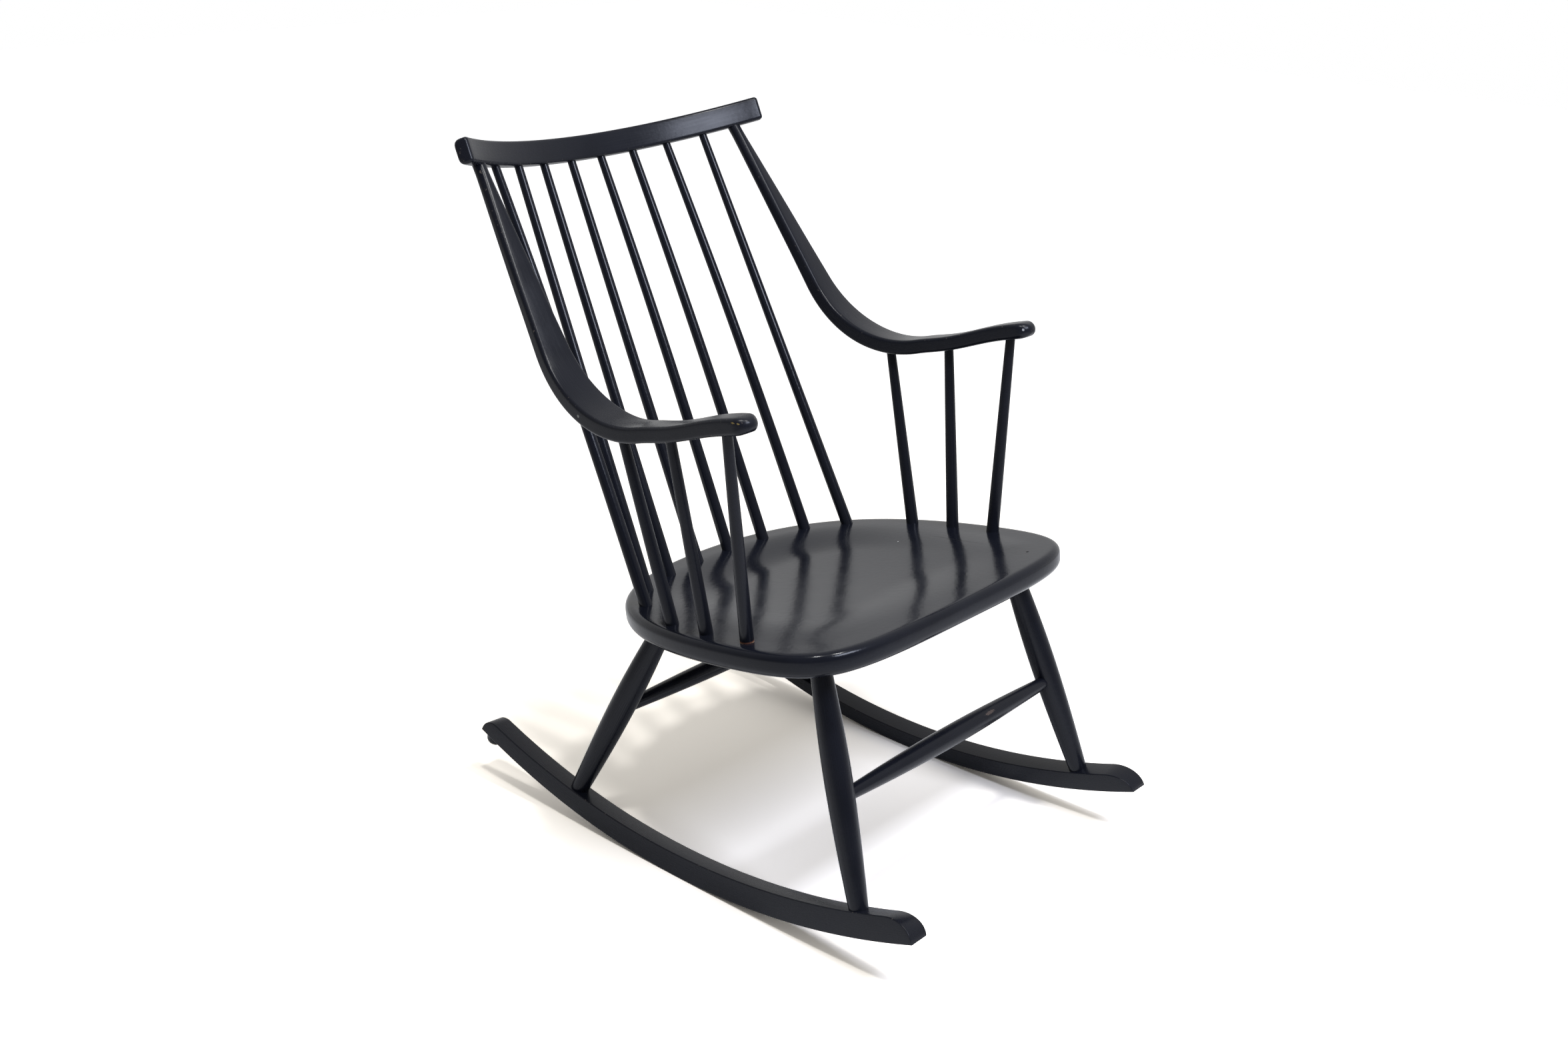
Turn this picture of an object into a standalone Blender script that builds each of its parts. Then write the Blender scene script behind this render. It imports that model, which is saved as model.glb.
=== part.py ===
"""A spindle-back rocking chair in black-painted wood, made of separate turned, bent and sawn pieces.

The chair is drawn with its seat level: X points to the sitter's left, Y to the back and Z up, with the
seat's top at Z = 0. A parent empty then leans the chair back to the way it stands at rest and sets it on
the floor, with the origin under the middle of the chair. Sizes are in metres and angles in degrees.

Every round tenon sits in a blind bore that is cut by a copy of the tenoned piece, grown by the clearance.
"""
import math

import bmesh
import bpy
from mathutils import Matrix, Vector

CHAIR = "rocking_chair"
SIDES = (("left", 1), ("right", -1))
CLEARANCE = 0.0003
REST_TILT = 9.5

# Seat: a thick D-shaped board, widest in front of its middle
SEAT_THICKNESS = 0.032
SEAT_HALF_WIDTH = 0.2885
SEAT_WIDEST_Y = -0.217
SEAT_BACK_Y = 0.1145
SEAT_FRONT_Y = -0.3805
SEAT_BACK_FULLNESS = 0.224
SEAT_REAR_SIDE_FULLNESS = 0.182
SEAT_FRONT_SIDE_FULLNESS = 0.160
SEAT_FRONT_FULLNESS = 0.237
SEAT_EDGE_ROUNDING = 0.013
SEAT_EDGE_STEPS = 3
SEAT_CURVE_STEPS = 12

# Crest rail: a board bent to an arc, across the top of the back
BACK_LEAN = 16.2
CREST_RADIUS = 0.485
CREST_SET_BACK = 0.075
CREST_UNDERSIDE = 0.610
CREST_HEIGHT = 0.030
CREST_THICKNESS = 0.020
CREST_HALF_SPAN = 0.279
CREST_EDGE_ROUNDING = 0.004
CREST_EDGE_STEPS = 2
CREST_ARC_STEPS = 20

# Back spindles: feet on a half ellipse near the seat's back edge, heads evenly spaced in the crest
BACK_FOOT_INSET_SIDE = 0.0755
BACK_FOOT_INSET_BACK = 0.039
BACK_FOOT_CURVE_DEPTH = 0.093
BACK_FOOT_ANGLES = (80.4, 50.3, 27.1, 8.6)
BACK_HEAD_PITCH = 0.0565
BACK_FOOT_DIAMETER = 0.0172
BACK_HEAD_DIAMETER = 0.0115
SPINDLE_COLLAR = 0.004
SPINDLE_SIDES = 12

# Tenon lengths, from the surface that the piece enters to the tip of the tenon
SEAT_TENON = 0.020
CREST_TENON = 0.016
LEG_SEAT_TENON = 0.021
LEG_ROCKER_TENON = 0.016

# Arms: bent from the crest down to a rest that rises to its nose, round above and flat below
ARM_CREST_INSET = 0.0366
ARM_CORNER_Y = 0.0029
ARM_CORNER_Z = 0.2429
ARM_BEND_RADIUS = 0.170
ARM_RISE = 8.2
ARM_REST_LENGTH = 0.3035
ARM_NOSE_INSET_SIDE = 0.0019
ARM_PLAN_BOW = 0.0034
ARM_TOP_DIAMETER = 0.0160
ARM_TIP_DIAMETER = 0.0110
ARM_TAPER_WIDTH = 0.0357
ARM_BEND_WIDTH = 0.0525
ARM_REST_WIDTH = 0.0405
ARM_NOSE_WIDTH = 0.0347
ARM_BEND_THICKNESS = 0.0212
ARM_NOSE_THICKNESS = 0.0194
ARM_SQUARENESS = 6.0
ARM_TWIST = 6.9
ARM_NECK = 0.005
ARM_ROUND_LENGTH = 0.014
ARM_NOSE_ROUNDING = 0.017
ARM_SECTION_SIDES = 16
ARM_STATIONS = 26

# Arm spindles, from the front to the back: feet set in from the seat's side, heads set back from the nose
# and out from the arm's middle
ARM_SPINDLE_NAMES = ("front", "middle", "rear")
ARM_FOOT_INSETS = (0.0288, 0.0296, 0.0369)
ARM_FOOT_YS = (-0.2297, -0.1599, -0.0925)
ARM_HEAD_SET_BACKS = (0.0355, 0.1404, 0.2385)
ARM_HEAD_OFFSETS = (0.0055, 0.0036, -0.0017)
ARM_FOOT_DIAMETER = 0.0178
ARM_HEAD_DIAMETER = 0.0128

# Legs: turned with a belly, splayed, with tapered tenons in the seat and in the rockers
FRONT_LEG_INSET_SIDE = 0.0827
FRONT_LEG_INSET_FRONT = 0.0839
REAR_LEG_INSET_SIDE = 0.1035
REAR_LEG_INSET_BACK = 0.1244
FRONT_LEG_FOOT_Y = -0.360
REAR_LEG_FOOT_Y = 0.1365
LEG_TOP_DIAMETER = 0.026
LEG_BELLY_DIAMETER = 0.0358
LEG_FOOT_DIAMETER = 0.0250
LEG_SEAT_TIP_DIAMETER = 0.021
LEG_ROCKER_TIP_DIAMETER = 0.018
LEG_BELLY_AT = 0.45
LEG_NECK = 0.010
LEG_STEPS = 10
LEG_SIDES = 16

# Cross stretchers: swelled in the middle, let into the legs
FRONT_STRETCHER_DROP = 0.165
REAR_STRETCHER_DROP = 0.126
FRONT_STRETCHER_BELLY = 0.0285
REAR_STRETCHER_BELLY = 0.0265
STRETCHER_END_DIAMETER = 0.0165
STRETCHER_STOP_SHORT = 0.004
STRETCHER_STEPS = 10

# Rockers: sawn between two arcs, thinner to the rear because the top's arc is shifted back, canted with
# the legs, with a level sole of short flats
ROCKER_CENTRE_Y = -0.2280
ROCKER_CENTRE_Z = 0.6777
ROCKER_SOLE_RADIUS = 1.0474
ROCKER_TOP_RADIUS = 1.0497
ROCKER_TOP_SHIFT = 0.0080
ROCKER_HEIGHT = 0.0297
ROCKER_WIDTH = 0.030
ROCKER_INSET_SIDE = 0.0365
ROCKER_CANT = 10.0
ROCKER_FLAT_ANGLE = 3.0
ROCKER_FRONT_ANGLE = 22.05
ROCKER_REAR_ANGLE = 21.7
ROCKER_FRONT_NOSE = 0.040
ROCKER_REAR_NOSE = 0.020
ROCKER_NOSE_HEIGHT = 0.006
ROCKER_NOSE_STEPS = 4

# Rocker stops: turned buttons under the rear ends
STOP_FROM_END = 0.017
STOP_DIAMETER = 0.025
STOP_HEIGHT = 0.018
STOP_PEG_DIAMETER = 0.007
STOP_PEG_LENGTH = 0.012
STOP_STEPS = 4

# Paint: satin black, a little blue
PAINT_COLOUR = (0.012, 0.0125, 0.015, 1.0)
PAINT_ROUGHNESS = 0.38


def start_scene():
    """Empties the scene and makes the collections and the parent that leans the chair back."""
    for old in list(bpy.data.objects):
        bpy.data.objects.remove(old, do_unlink=True)
    collections = {}
    for name in (CHAIR, "cutters"):
        collections[name] = bpy.data.collections.new(name)
        bpy.context.scene.collection.children.link(collections[name])
    parent = bpy.data.objects.new("rest_pose", None)
    parent.rotation_euler.x = -math.radians(REST_TILT)
    bpy.context.scene.collection.objects.link(parent)
    return parent, collections[CHAIR], collections["cutters"]


def paint(piece):
    """Gives a piece its own coat of satin black paint."""
    material = bpy.data.materials.new(piece.name + "_paint")
    material.use_nodes = True
    shader = material.node_tree.nodes["Principled BSDF"]
    shader.inputs["Base Color"].default_value = PAINT_COLOUR
    shader.inputs["Roughness"].default_value = PAINT_ROUGHNESS
    shader.inputs["Metallic"].default_value = 0.0
    material.diffuse_color = PAINT_COLOUR
    piece.data.materials.append(material)


def add_piece(name, mesh):
    """Adds a mesh as a named, painted piece of the chair."""
    piece = bpy.data.objects.new(name, mesh)
    PIECES.objects.link(piece)
    piece.parent = REST
    paint(piece)
    return piece


def add_cutter(name, mesh):
    """Adds a mesh as a cutter, which shows as wire and is left out of the chair."""
    cutter = bpy.data.objects.new(name + "_bore", mesh)
    CUTTERS.objects.link(cutter)
    cutter.parent = REST
    cutter.hide_render = True
    cutter.display_type = "WIRE"
    return cutter


def cut(target, cutter):
    """Cuts a bore into a piece."""
    bore = target.modifiers.new(cutter.name, "BOOLEAN")
    bore.operation = "DIFFERENCE"
    bore.solver = "EXACT"
    bore.object = cutter


def spin(thing, base, axis, sides):
    """Stands a half profile on its base along an axis and spins it into a turned solid."""
    thing.location = base
    thing.rotation_mode = "QUATERNION"
    thing.rotation_quaternion = axis.to_track_quat("Z", "Y")
    screw = thing.modifiers.new("lathe", "SCREW")
    screw.steps = sides
    screw.render_steps = sides
    screw.use_merge_vertices = True
    screw.merge_threshold = 0.00001
    screw.use_smooth_shade = True


def profile_mesh(name, profile):
    """A half profile in the XZ plane, from the top of the axis round to its foot."""
    top, foot = profile[0][0], profile[-1][0]
    points = [(0, 0, top)] + [(radius, 0, height) for height, radius in profile] + [(0, 0, foot)]
    mesh = bpy.data.meshes.new(name)
    mesh.from_pydata(points, [(i, i + 1) for i in range(len(points) - 1)], [])
    return mesh


def grown(profile):
    """The profile with the clearance added all round."""
    out = [(height, radius + CLEARANCE) for height, radius in profile]
    out[0] = (out[0][0] + CLEARANCE, out[0][1])
    out[-1] = (out[-1][0] - CLEARANCE, out[-1][1])
    return out


def turned(name, base, axis, profile, sides, entered):
    """A turned piece, and the bores for it in the pieces that it enters."""
    piece = add_piece(name, profile_mesh(name, profile))
    spin(piece, base, axis, sides)
    cutter = add_cutter(name, profile_mesh(name, grown(profile)))
    spin(cutter, base, axis, sides)
    for target in entered:
        cut(target, cutter)
    return piece


def taper(foot_tenon, length, head_tenon, foot_diameter, head_diameter):
    """Profile of a spindle that tapers from its foot at height 0 to its head, plain at both ends."""
    return [(length + head_tenon, head_diameter / 2), (length - SPINDLE_COLLAR, head_diameter / 2),
            (SPINDLE_COLLAR, foot_diameter / 2), (-foot_tenon, foot_diameter / 2)]


def flat_plate(name, draw, thickness, place):
    """A closed 2D outline given thickness and made a mesh, with each flat face in one piece."""
    curve = bpy.data.curves.new(name, "CURVE")
    curve.dimensions = "2D"
    curve.fill_mode = "BOTH"
    curve.extrude = thickness / 2
    draw(curve)
    drawing = bpy.data.objects.new(name + "_drawing", curve)
    PIECES.objects.link(drawing)
    mesh = bpy.data.meshes.new_from_object(drawing.evaluated_get(bpy.context.evaluated_depsgraph_get()))
    bpy.data.objects.remove(drawing)
    bpy.data.curves.remove(curve)
    shape = bmesh.new()
    shape.from_mesh(mesh)
    bmesh.ops.remove_doubles(shape, verts=shape.verts, dist=0.00001)
    bmesh.ops.dissolve_limit(shape, angle_limit=math.radians(0.1), verts=shape.verts, edges=shape.edges)
    bmesh.ops.recalc_face_normals(shape, faces=shape.faces)
    shape.to_mesh(mesh)
    shape.free()
    plate = add_piece(name, mesh)
    plate.matrix_basis = place
    return plate


def round_edges(piece, radius, steps):
    """Rounds the sharp edges of a plate and shades its curved faces smooth."""
    bevel = piece.modifiers.new("rounding", "BEVEL")
    bevel.width = radius
    bevel.segments = steps
    bevel.limit_method = "ANGLE"
    bevel.angle_limit = math.radians(40)
    piece.data.shade_smooth()
    piece.data.set_sharp_from_angle(angle=math.radians(35))


def closed_poly(curve, points):
    """Adds a closed outline of straight steps to a curve."""
    spline = curve.splines.new("POLY")
    spline.points.add(len(points) - 1)
    for point, (x, y) in zip(spline.points, points):
        point.co = (x, y, 0, 1)
    spline.use_cyclic_u = True


def draw_seat(curve):
    """The seat's outline: back, left side, front and right side, joined by smooth curves."""
    wide, at = SEAT_HALF_WIDTH, SEAT_WIDEST_Y
    corners = (
        ((0, SEAT_BACK_Y), (-SEAT_BACK_FULLNESS, SEAT_BACK_Y), (SEAT_BACK_FULLNESS, SEAT_BACK_Y)),
        ((wide, at), (wide, at + SEAT_REAR_SIDE_FULLNESS), (wide, at - SEAT_FRONT_SIDE_FULLNESS)),
        ((0, SEAT_FRONT_Y), (SEAT_FRONT_FULLNESS, SEAT_FRONT_Y), (-SEAT_FRONT_FULLNESS, SEAT_FRONT_Y)),
        ((-wide, at), (-wide, at - SEAT_FRONT_SIDE_FULLNESS), (-wide, at + SEAT_REAR_SIDE_FULLNESS)),
    )
    curve.resolution_u = SEAT_CURVE_STEPS
    spline = curve.splines.new("BEZIER")
    spline.bezier_points.add(len(corners) - 1)
    for point, (middle, before, after) in zip(spline.bezier_points, corners):
        point.handle_left_type = point.handle_right_type = "FREE"
        point.co = (*middle, 0)
        point.handle_left = (*before, 0)
        point.handle_right = (*after, 0)
    spline.use_cyclic_u = True


def make_seat():
    """The seat board, its edges well rounded."""
    seat = flat_plate("seat", draw_seat, SEAT_THICKNESS, Matrix.Translation((0, 0, -SEAT_THICKNESS / 2)))
    round_edges(seat, SEAT_EDGE_ROUNDING, SEAT_EDGE_STEPS)
    return seat


def lean_matrix():
    """Turns the back's own frame, whose Z runs up along the back, into the chair's."""
    return Matrix.Rotation(-math.radians(BACK_LEAN), 4, "X")


def crest_point(x, height):
    """A point on the crest's middle arc, at a height along the back."""
    back = CREST_SET_BACK - CREST_RADIUS + math.sqrt(CREST_RADIUS ** 2 - x ** 2)
    return lean_matrix() @ Vector((x, back, height))


def draw_crest(curve):
    """The crest seen from above: a strip of constant thickness along an arc."""
    reach = math.asin(CREST_HALF_SPAN / CREST_RADIUS)
    turns = [reach * (2 * i / CREST_ARC_STEPS - 1) for i in range(CREST_ARC_STEPS + 1)]
    points = []
    for radius, order in ((CREST_RADIUS + CREST_THICKNESS / 2, turns),
                          (CREST_RADIUS - CREST_THICKNESS / 2, reversed(turns))):
        for turn in order:
            back = CREST_SET_BACK - CREST_RADIUS + radius * math.cos(turn)
            points.append((radius * math.sin(turn), back))
    closed_poly(curve, points)


def make_crest():
    """The crest rail, leaning with the back."""
    middle = Matrix.Translation((0, 0, CREST_UNDERSIDE + CREST_HEIGHT / 2))
    crest = flat_plate("crest_rail", draw_crest, CREST_HEIGHT, lean_matrix() @ middle)
    round_edges(crest, CREST_EDGE_ROUNDING, CREST_EDGE_STEPS)
    return crest


def back_foot(angle):
    """Where a back spindle meets the seat, at an angle from the middle of the back."""
    half = SEAT_HALF_WIDTH - BACK_FOOT_INSET_SIDE
    centre = SEAT_BACK_Y - BACK_FOOT_INSET_BACK - BACK_FOOT_CURVE_DEPTH
    turn = math.radians(angle)
    return Vector((half * math.sin(turn), centre + BACK_FOOT_CURVE_DEPTH * math.cos(turn), 0))


def make_back_spindles(seat, crest):
    """The back spindles, numbered from the sitter's left to the right."""
    angles = list(BACK_FOOT_ANGLES) + [-angle for angle in reversed(BACK_FOOT_ANGLES)]
    for i, angle in enumerate(angles):
        foot = back_foot(angle)
        head = crest_point(BACK_HEAD_PITCH * ((len(angles) - 1) / 2 - i), CREST_UNDERSIDE)
        length = (head - foot).length
        profile = taper(SEAT_TENON, length, CREST_TENON, BACK_FOOT_DIAMETER, BACK_HEAD_DIAMETER)
        turned(f"back_spindle_{i + 1}", foot, head - foot, profile, SPINDLE_SIDES, (seat, crest))


class ArmPath:
    """The middle line of an arm: straight down from the crest, an even bend, and a straight rest."""

    def __init__(self, side):
        self.side = side
        self.top = crest_point(CREST_HALF_SPAN - ARM_CREST_INSET, CREST_UNDERSIDE)
        top = Vector((self.top.y, self.top.z))
        corner = Vector((ARM_CORNER_Y, ARM_CORNER_Z))
        rise = math.radians(ARM_RISE)
        self.down = (corner - top).normalized()
        self.forward = Vector((-math.cos(rise), math.sin(rise)))
        self.turn = self.down.angle(self.forward)
        tangent = ARM_BEND_RADIUS * math.tan(self.turn / 2)
        self.start = top
        self.straight = (corner - top).length - tangent
        self.bend = ARM_BEND_RADIUS * self.turn
        self.length = self.straight + self.bend + ARM_REST_LENGTH - tangent

    def point(self, s):
        """The point at a distance along the arm from the crest; a negative one lies in the crest."""
        bent = min(max(s - self.straight, 0), self.bend) / ARM_BEND_RADIUS
        flat = self.start + self.down * min(s, self.straight)
        inward = Vector((self.down.y, -self.down.x))
        flat = flat + ARM_BEND_RADIUS * (math.sin(bent) * self.down + (1 - math.cos(bent)) * inward)
        flat = flat + self.forward * max(s - self.straight - self.bend, 0)
        share = s / self.length
        nose = SEAT_HALF_WIDTH - ARM_NOSE_INSET_SIDE
        across = self.top.x + (nose - self.top.x) * share + 4 * ARM_PLAN_BOW * share * (1 - share)
        return Vector((self.side * across, flat.x, flat.y))

    def direction(self, s):
        """The way the arm runs at a distance along it."""
        step = 0.0005
        return (self.point(s + step) - self.point(s - step)).normalized()


def between(s, stops):
    """A value that runs straight from stop to stop, each a distance and a value."""
    value = stops[0][1]
    for (start, low), (end, high) in zip(stops, stops[1:]):
        value += (high - low) * min(max((s - start) / (end - start), 0), 1)
    return value


def arm_section(path, s):
    """Width, thickness, squareness and twist of the arm at a distance along it."""
    top, nose = ARM_ROUND_LENGTH, path.length
    bend = path.straight + path.bend / 2
    widths = ((top, ARM_TOP_DIAMETER), ((top + bend) / 2, ARM_TAPER_WIDTH), (bend, ARM_BEND_WIDTH),
              ((bend + nose) / 2, ARM_REST_WIDTH), (nose, ARM_NOSE_WIDTH))
    depths = ((top, ARM_TOP_DIAMETER), (bend, ARM_BEND_THICKNESS), (nose, ARM_NOSE_THICKNESS))
    squareness = between(s, ((top, 2), ((top + bend) / 2, ARM_SQUARENESS)))
    twist = between(s, ((path.straight, ARM_TWIST), (path.straight + path.bend, 0)))
    return between(s, widths), between(s, depths), squareness, math.radians(twist)


def arm_ring(path, s, scale):
    """The points round the arm at a distance along it, shrunk by a scale."""
    width, thickness, squareness, twist = arm_section(path, s)
    along = path.direction(s)
    across = Vector((path.side, 0, 0))
    across = (across - across.project(along)).normalized()
    upward = along.cross(across) * path.side
    ring = []
    for i in range(ARM_SECTION_SIDES):
        turn = 2 * math.pi * i / ARM_SECTION_SIDES
        wide = math.copysign(abs(math.cos(turn)) ** (2 / squareness), math.cos(turn)) * scale * width / 2
        deep = math.copysign(abs(math.sin(turn)) ** (2 / squareness), math.sin(turn))
        deep = deep * scale * thickness / 2
        outward = wide * math.cos(twist) + deep * math.sin(twist)
        rise = deep * math.cos(twist) - wide * math.sin(twist)
        ring.append(path.point(s) + across * outward + upward * rise)
    return ring


def loft(name, rings):
    """A closed solid through rings of points, with a flat face at each end."""
    shape = bmesh.new()
    rows = [[shape.verts.new(point) for point in ring] for ring in rings]
    for row, following in zip(rows, rows[1:]):
        for i in range(len(row)):
            j = (i + 1) % len(row)
            shape.faces.new((row[i], row[j], following[j], following[i]))
    shape.faces.new(rows[0])
    shape.faces.new(rows[-1])
    bmesh.ops.recalc_face_normals(shape, faces=shape.faces)
    mesh = bpy.data.meshes.new(name)
    shape.to_mesh(mesh)
    shape.free()
    mesh.shade_smooth()
    mesh.set_sharp_from_angle(angle=math.radians(50))
    return mesh


def make_arm(word, side, crest):
    """An arm, with its tapered tenon in the crest and its rounded nose."""
    path = ArmPath(side)
    tenon_share = ARM_TIP_DIAMETER / ARM_TOP_DIAMETER
    rings = [arm_ring(path, -CREST_TENON, tenon_share)]
    body = path.length - ARM_NOSE_ROUNDING
    for i in range(ARM_STATIONS + 1):
        rings.append(arm_ring(path, ARM_NECK + (body - ARM_NECK) * i / ARM_STATIONS, 1))
    for turn in (30, 55, 80):
        reach = math.sin(math.radians(turn)) * ARM_NOSE_ROUNDING
        rings.append(arm_ring(path, body + reach, math.cos(math.radians(turn)) ** 0.5))
    arm = add_piece(f"{word}_arm", loft(f"{word}_arm", rings))
    upward = -path.direction(0)
    profile = [(CREST_TENON, ARM_TIP_DIAMETER / 2), (-ARM_NECK, ARM_TOP_DIAMETER / 2),
               (-CREST_TENON, ARM_TOP_DIAMETER / 2)]
    cutter = add_cutter(f"{word}_arm", profile_mesh(f"{word}_arm_tenon", grown(profile)))
    spin(cutter, path.point(0), upward, ARM_SECTION_SIDES)
    cut(crest, cutter)
    return arm, path


def make_arm_spindles(word, side, seat, arm, path):
    """The spindles that carry an arm; their heads end at the middle of its thickness."""
    for name, inset, y, set_back, offset in zip(ARM_SPINDLE_NAMES, ARM_FOOT_INSETS, ARM_FOOT_YS,
                                                ARM_HEAD_SET_BACKS, ARM_HEAD_OFFSETS):
        foot = Vector((side * (SEAT_HALF_WIDTH - inset), y, 0))
        head = path.point(path.length - set_back) + Vector((side * offset, 0, 0))
        profile = taper(SEAT_TENON, (head - foot).length, 0, ARM_FOOT_DIAMETER, ARM_HEAD_DIAMETER)
        turned(f"{word}_arm_spindle_{name}", foot, head - foot, profile, SPINDLE_SIDES, (seat, arm))


def rocker_sole_x():
    """How far the middle of a rocker's sole lies from the middle of the chair."""
    return SEAT_HALF_WIDTH - ROCKER_INSET_SIDE


def rocker_frame(side):
    """A rocker's frame at its sole arc's centre: X to the back and Y up at rest, Z to the sitter's left."""
    axes = Matrix(((0, 0, 1, 0), (1, 0, 0, 0), (0, 1, 0, 0), (0, 0, 0, 1)))
    centre = Matrix.Translation((side * rocker_sole_x(), ROCKER_CENTRE_Y, ROCKER_CENTRE_Z))
    return centre @ Matrix.Rotation(math.radians(REST_TILT), 4, "X") @ axes


def rocker_rise():
    """How far the top arc's centre lies above the sole arc's, square to the seat."""
    return ROCKER_TOP_RADIUS + ROCKER_HEIGHT - ROCKER_SOLE_RADIUS


def rocker_height(turn):
    """A rocker's height along the sole's radius, at a turn from the flat that is level at rest."""
    slant = turn + math.radians(REST_TILT)
    rise, shift = rocker_rise(), ROCKER_TOP_SHIFT
    along = shift * math.sin(slant) - rise * math.cos(slant)
    reach = along + math.sqrt(ROCKER_TOP_RADIUS ** 2 + along ** 2 - rise ** 2 - shift ** 2)
    return ROCKER_SOLE_RADIUS - reach


def rocker_nose(tip, length, way):
    """Stations of a rounded nose, from where the top starts to fall to the tip: turns and heights."""
    stations = []
    for i in range(ROCKER_NOSE_STEPS + 1):
        step = math.pi / 2 * i / ROCKER_NOSE_STEPS
        turn = way * (tip - length / ROCKER_SOLE_RADIUS * (1 - math.sin(step)))
        full = rocker_height(turn)
        stations.append((turn, full - (full - ROCKER_NOSE_HEIGHT) * (1 - math.cos(step))))
    return stations


def rocker_stations():
    """Turns about the sole's centre and the rocker's height at each, from front tip to rear tip."""
    flat = math.radians(ROCKER_FLAT_ANGLE)
    front = rocker_nose(math.radians(ROCKER_FRONT_ANGLE), ROCKER_FRONT_NOSE, -1)
    rear = rocker_nose(math.radians(ROCKER_REAR_ANGLE), ROCKER_REAR_NOSE, 1)
    count = int(math.pi / flat)
    joints = [flat * (i + 0.5) for i in range(-count, count)]
    flats = [(turn, rocker_height(turn)) for turn in joints if front[0][0] < turn < rear[0][0]]
    return list(reversed(front)) + flats + rear


def rocker_ring(side, turn, height):
    """The corners of a rocker's section: a level sole, and a top that leans in, outer edge up."""
    lean = math.tan(math.radians(ROCKER_CANT))
    corners = []
    for across, up in ((-0.5, 0), (0.5, 0), (0.5, height), (-0.5, height)):
        radius = ROCKER_SOLE_RADIUS - up * (1 + across * ROCKER_WIDTH * lean / ROCKER_HEIGHT)
        outward = across * ROCKER_WIDTH - lean * up
        corners.append(Vector((radius * math.sin(turn), -radius * math.cos(turn), side * outward)))
    return corners


def make_rocker(word, side):
    """A rocker, its sole a row of short flats of which one is level at rest."""
    rings = [rocker_ring(side, turn, height) for turn, height in rocker_stations()]
    mesh = loft(f"{word}_rocker", rings)
    mesh.shade_flat()
    rocker = add_piece(f"{word}_rocker", mesh)
    rocker.matrix_basis = rocker_frame(side)
    return rocker


def make_rocker_stop(word, side, rocker):
    """A turned button under a rocker's rear end, with a peg in the rocker."""
    turn = math.radians(ROCKER_REAR_ANGLE) - STOP_FROM_END / ROCKER_SOLE_RADIUS
    outward = Vector((math.sin(turn), -math.cos(turn), 0))
    frame = rocker_frame(side)
    base = frame @ (outward * (ROCKER_SOLE_RADIUS + CLEARANCE))
    axis = frame.to_3x3() @ -outward
    dome = [math.pi / 2 * i / STOP_STEPS for i in range(STOP_STEPS)]
    profile = [(STOP_PEG_LENGTH, STOP_PEG_DIAMETER / 2), (0, STOP_PEG_DIAMETER / 2), (0, STOP_DIAMETER / 2)]
    profile += [(-STOP_HEIGHT * (0.4 + 0.6 * math.sin(a)), STOP_DIAMETER / 2 * math.cos(a)) for a in dome]
    stop = add_piece(f"{word}_rocker_stop", profile_mesh(f"{word}_rocker_stop", profile))
    spin(stop, base, axis, SPINDLE_SIDES)
    peg = [(STOP_PEG_LENGTH, STOP_PEG_DIAMETER / 2), (-STOP_HEIGHT, STOP_PEG_DIAMETER / 2)]
    cutter = add_cutter(f"{word}_rocker_stop", profile_mesh(f"{word}_stop_peg", grown(peg)))
    spin(cutter, base, axis, SPINDLE_SIDES)
    cut(rocker, cutter)


def rocker_top(side, y):
    """The point on the middle of a rocker's top at a place along the chair."""
    across = rocker_sole_x() - ROCKER_HEIGHT * math.tan(math.radians(ROCKER_CANT))
    drop = math.sqrt(ROCKER_TOP_RADIUS ** 2 - (y - ROCKER_CENTRE_Y - ROCKER_TOP_SHIFT) ** 2)
    return Vector((side * across, y, ROCKER_CENTRE_Z + rocker_rise() - drop))


def leg_profile(length):
    """Profile of a leg from its tenon in the rocker, at the foot, up to its tenon in the seat."""
    profile = []
    body = length - 2 * LEG_NECK
    for i in range(LEG_STEPS + 1):
        share = i / LEG_STEPS
        if share < LEG_BELLY_AT:
            end, swell = LEG_TOP_DIAMETER, math.sin(math.pi / 2 * share / LEG_BELLY_AT)
        else:
            below = (share - LEG_BELLY_AT) / (1 - LEG_BELLY_AT)
            end, swell = LEG_FOOT_DIAMETER, math.cos(math.pi / 2 * below)
        profile.append((LEG_NECK + body * (1 - share), (end + (LEG_BELLY_DIAMETER - end) * swell) / 2))
    seat_tip = (length + LEG_SEAT_TENON, LEG_SEAT_TIP_DIAMETER / 2)
    rocker_tip = (-LEG_ROCKER_TENON, LEG_ROCKER_TIP_DIAMETER / 2)
    return [seat_tip] + profile + [rocker_tip]


def leg_ends(end, side):
    """A leg's foot on its rocker's top and its head at the seat's underside."""
    if end == "front":
        x, y = SEAT_HALF_WIDTH - FRONT_LEG_INSET_SIDE, SEAT_FRONT_Y + FRONT_LEG_INSET_FRONT
        foot_y = FRONT_LEG_FOOT_Y
    else:
        x, y = SEAT_HALF_WIDTH - REAR_LEG_INSET_SIDE, SEAT_BACK_Y - REAR_LEG_INSET_BACK
        foot_y = REAR_LEG_FOOT_Y
    return rocker_top(side, foot_y), Vector((side * x, y, -SEAT_THICKNESS))


def make_leg(word, end, side, seat, rocker):
    """A splayed leg between a rocker and the seat."""
    foot, head = leg_ends(end, side)
    profile = leg_profile((head - foot).length)
    return turned(f"{word}_{end}_leg", foot, head - foot, profile, LEG_SIDES, (seat, rocker))


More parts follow.
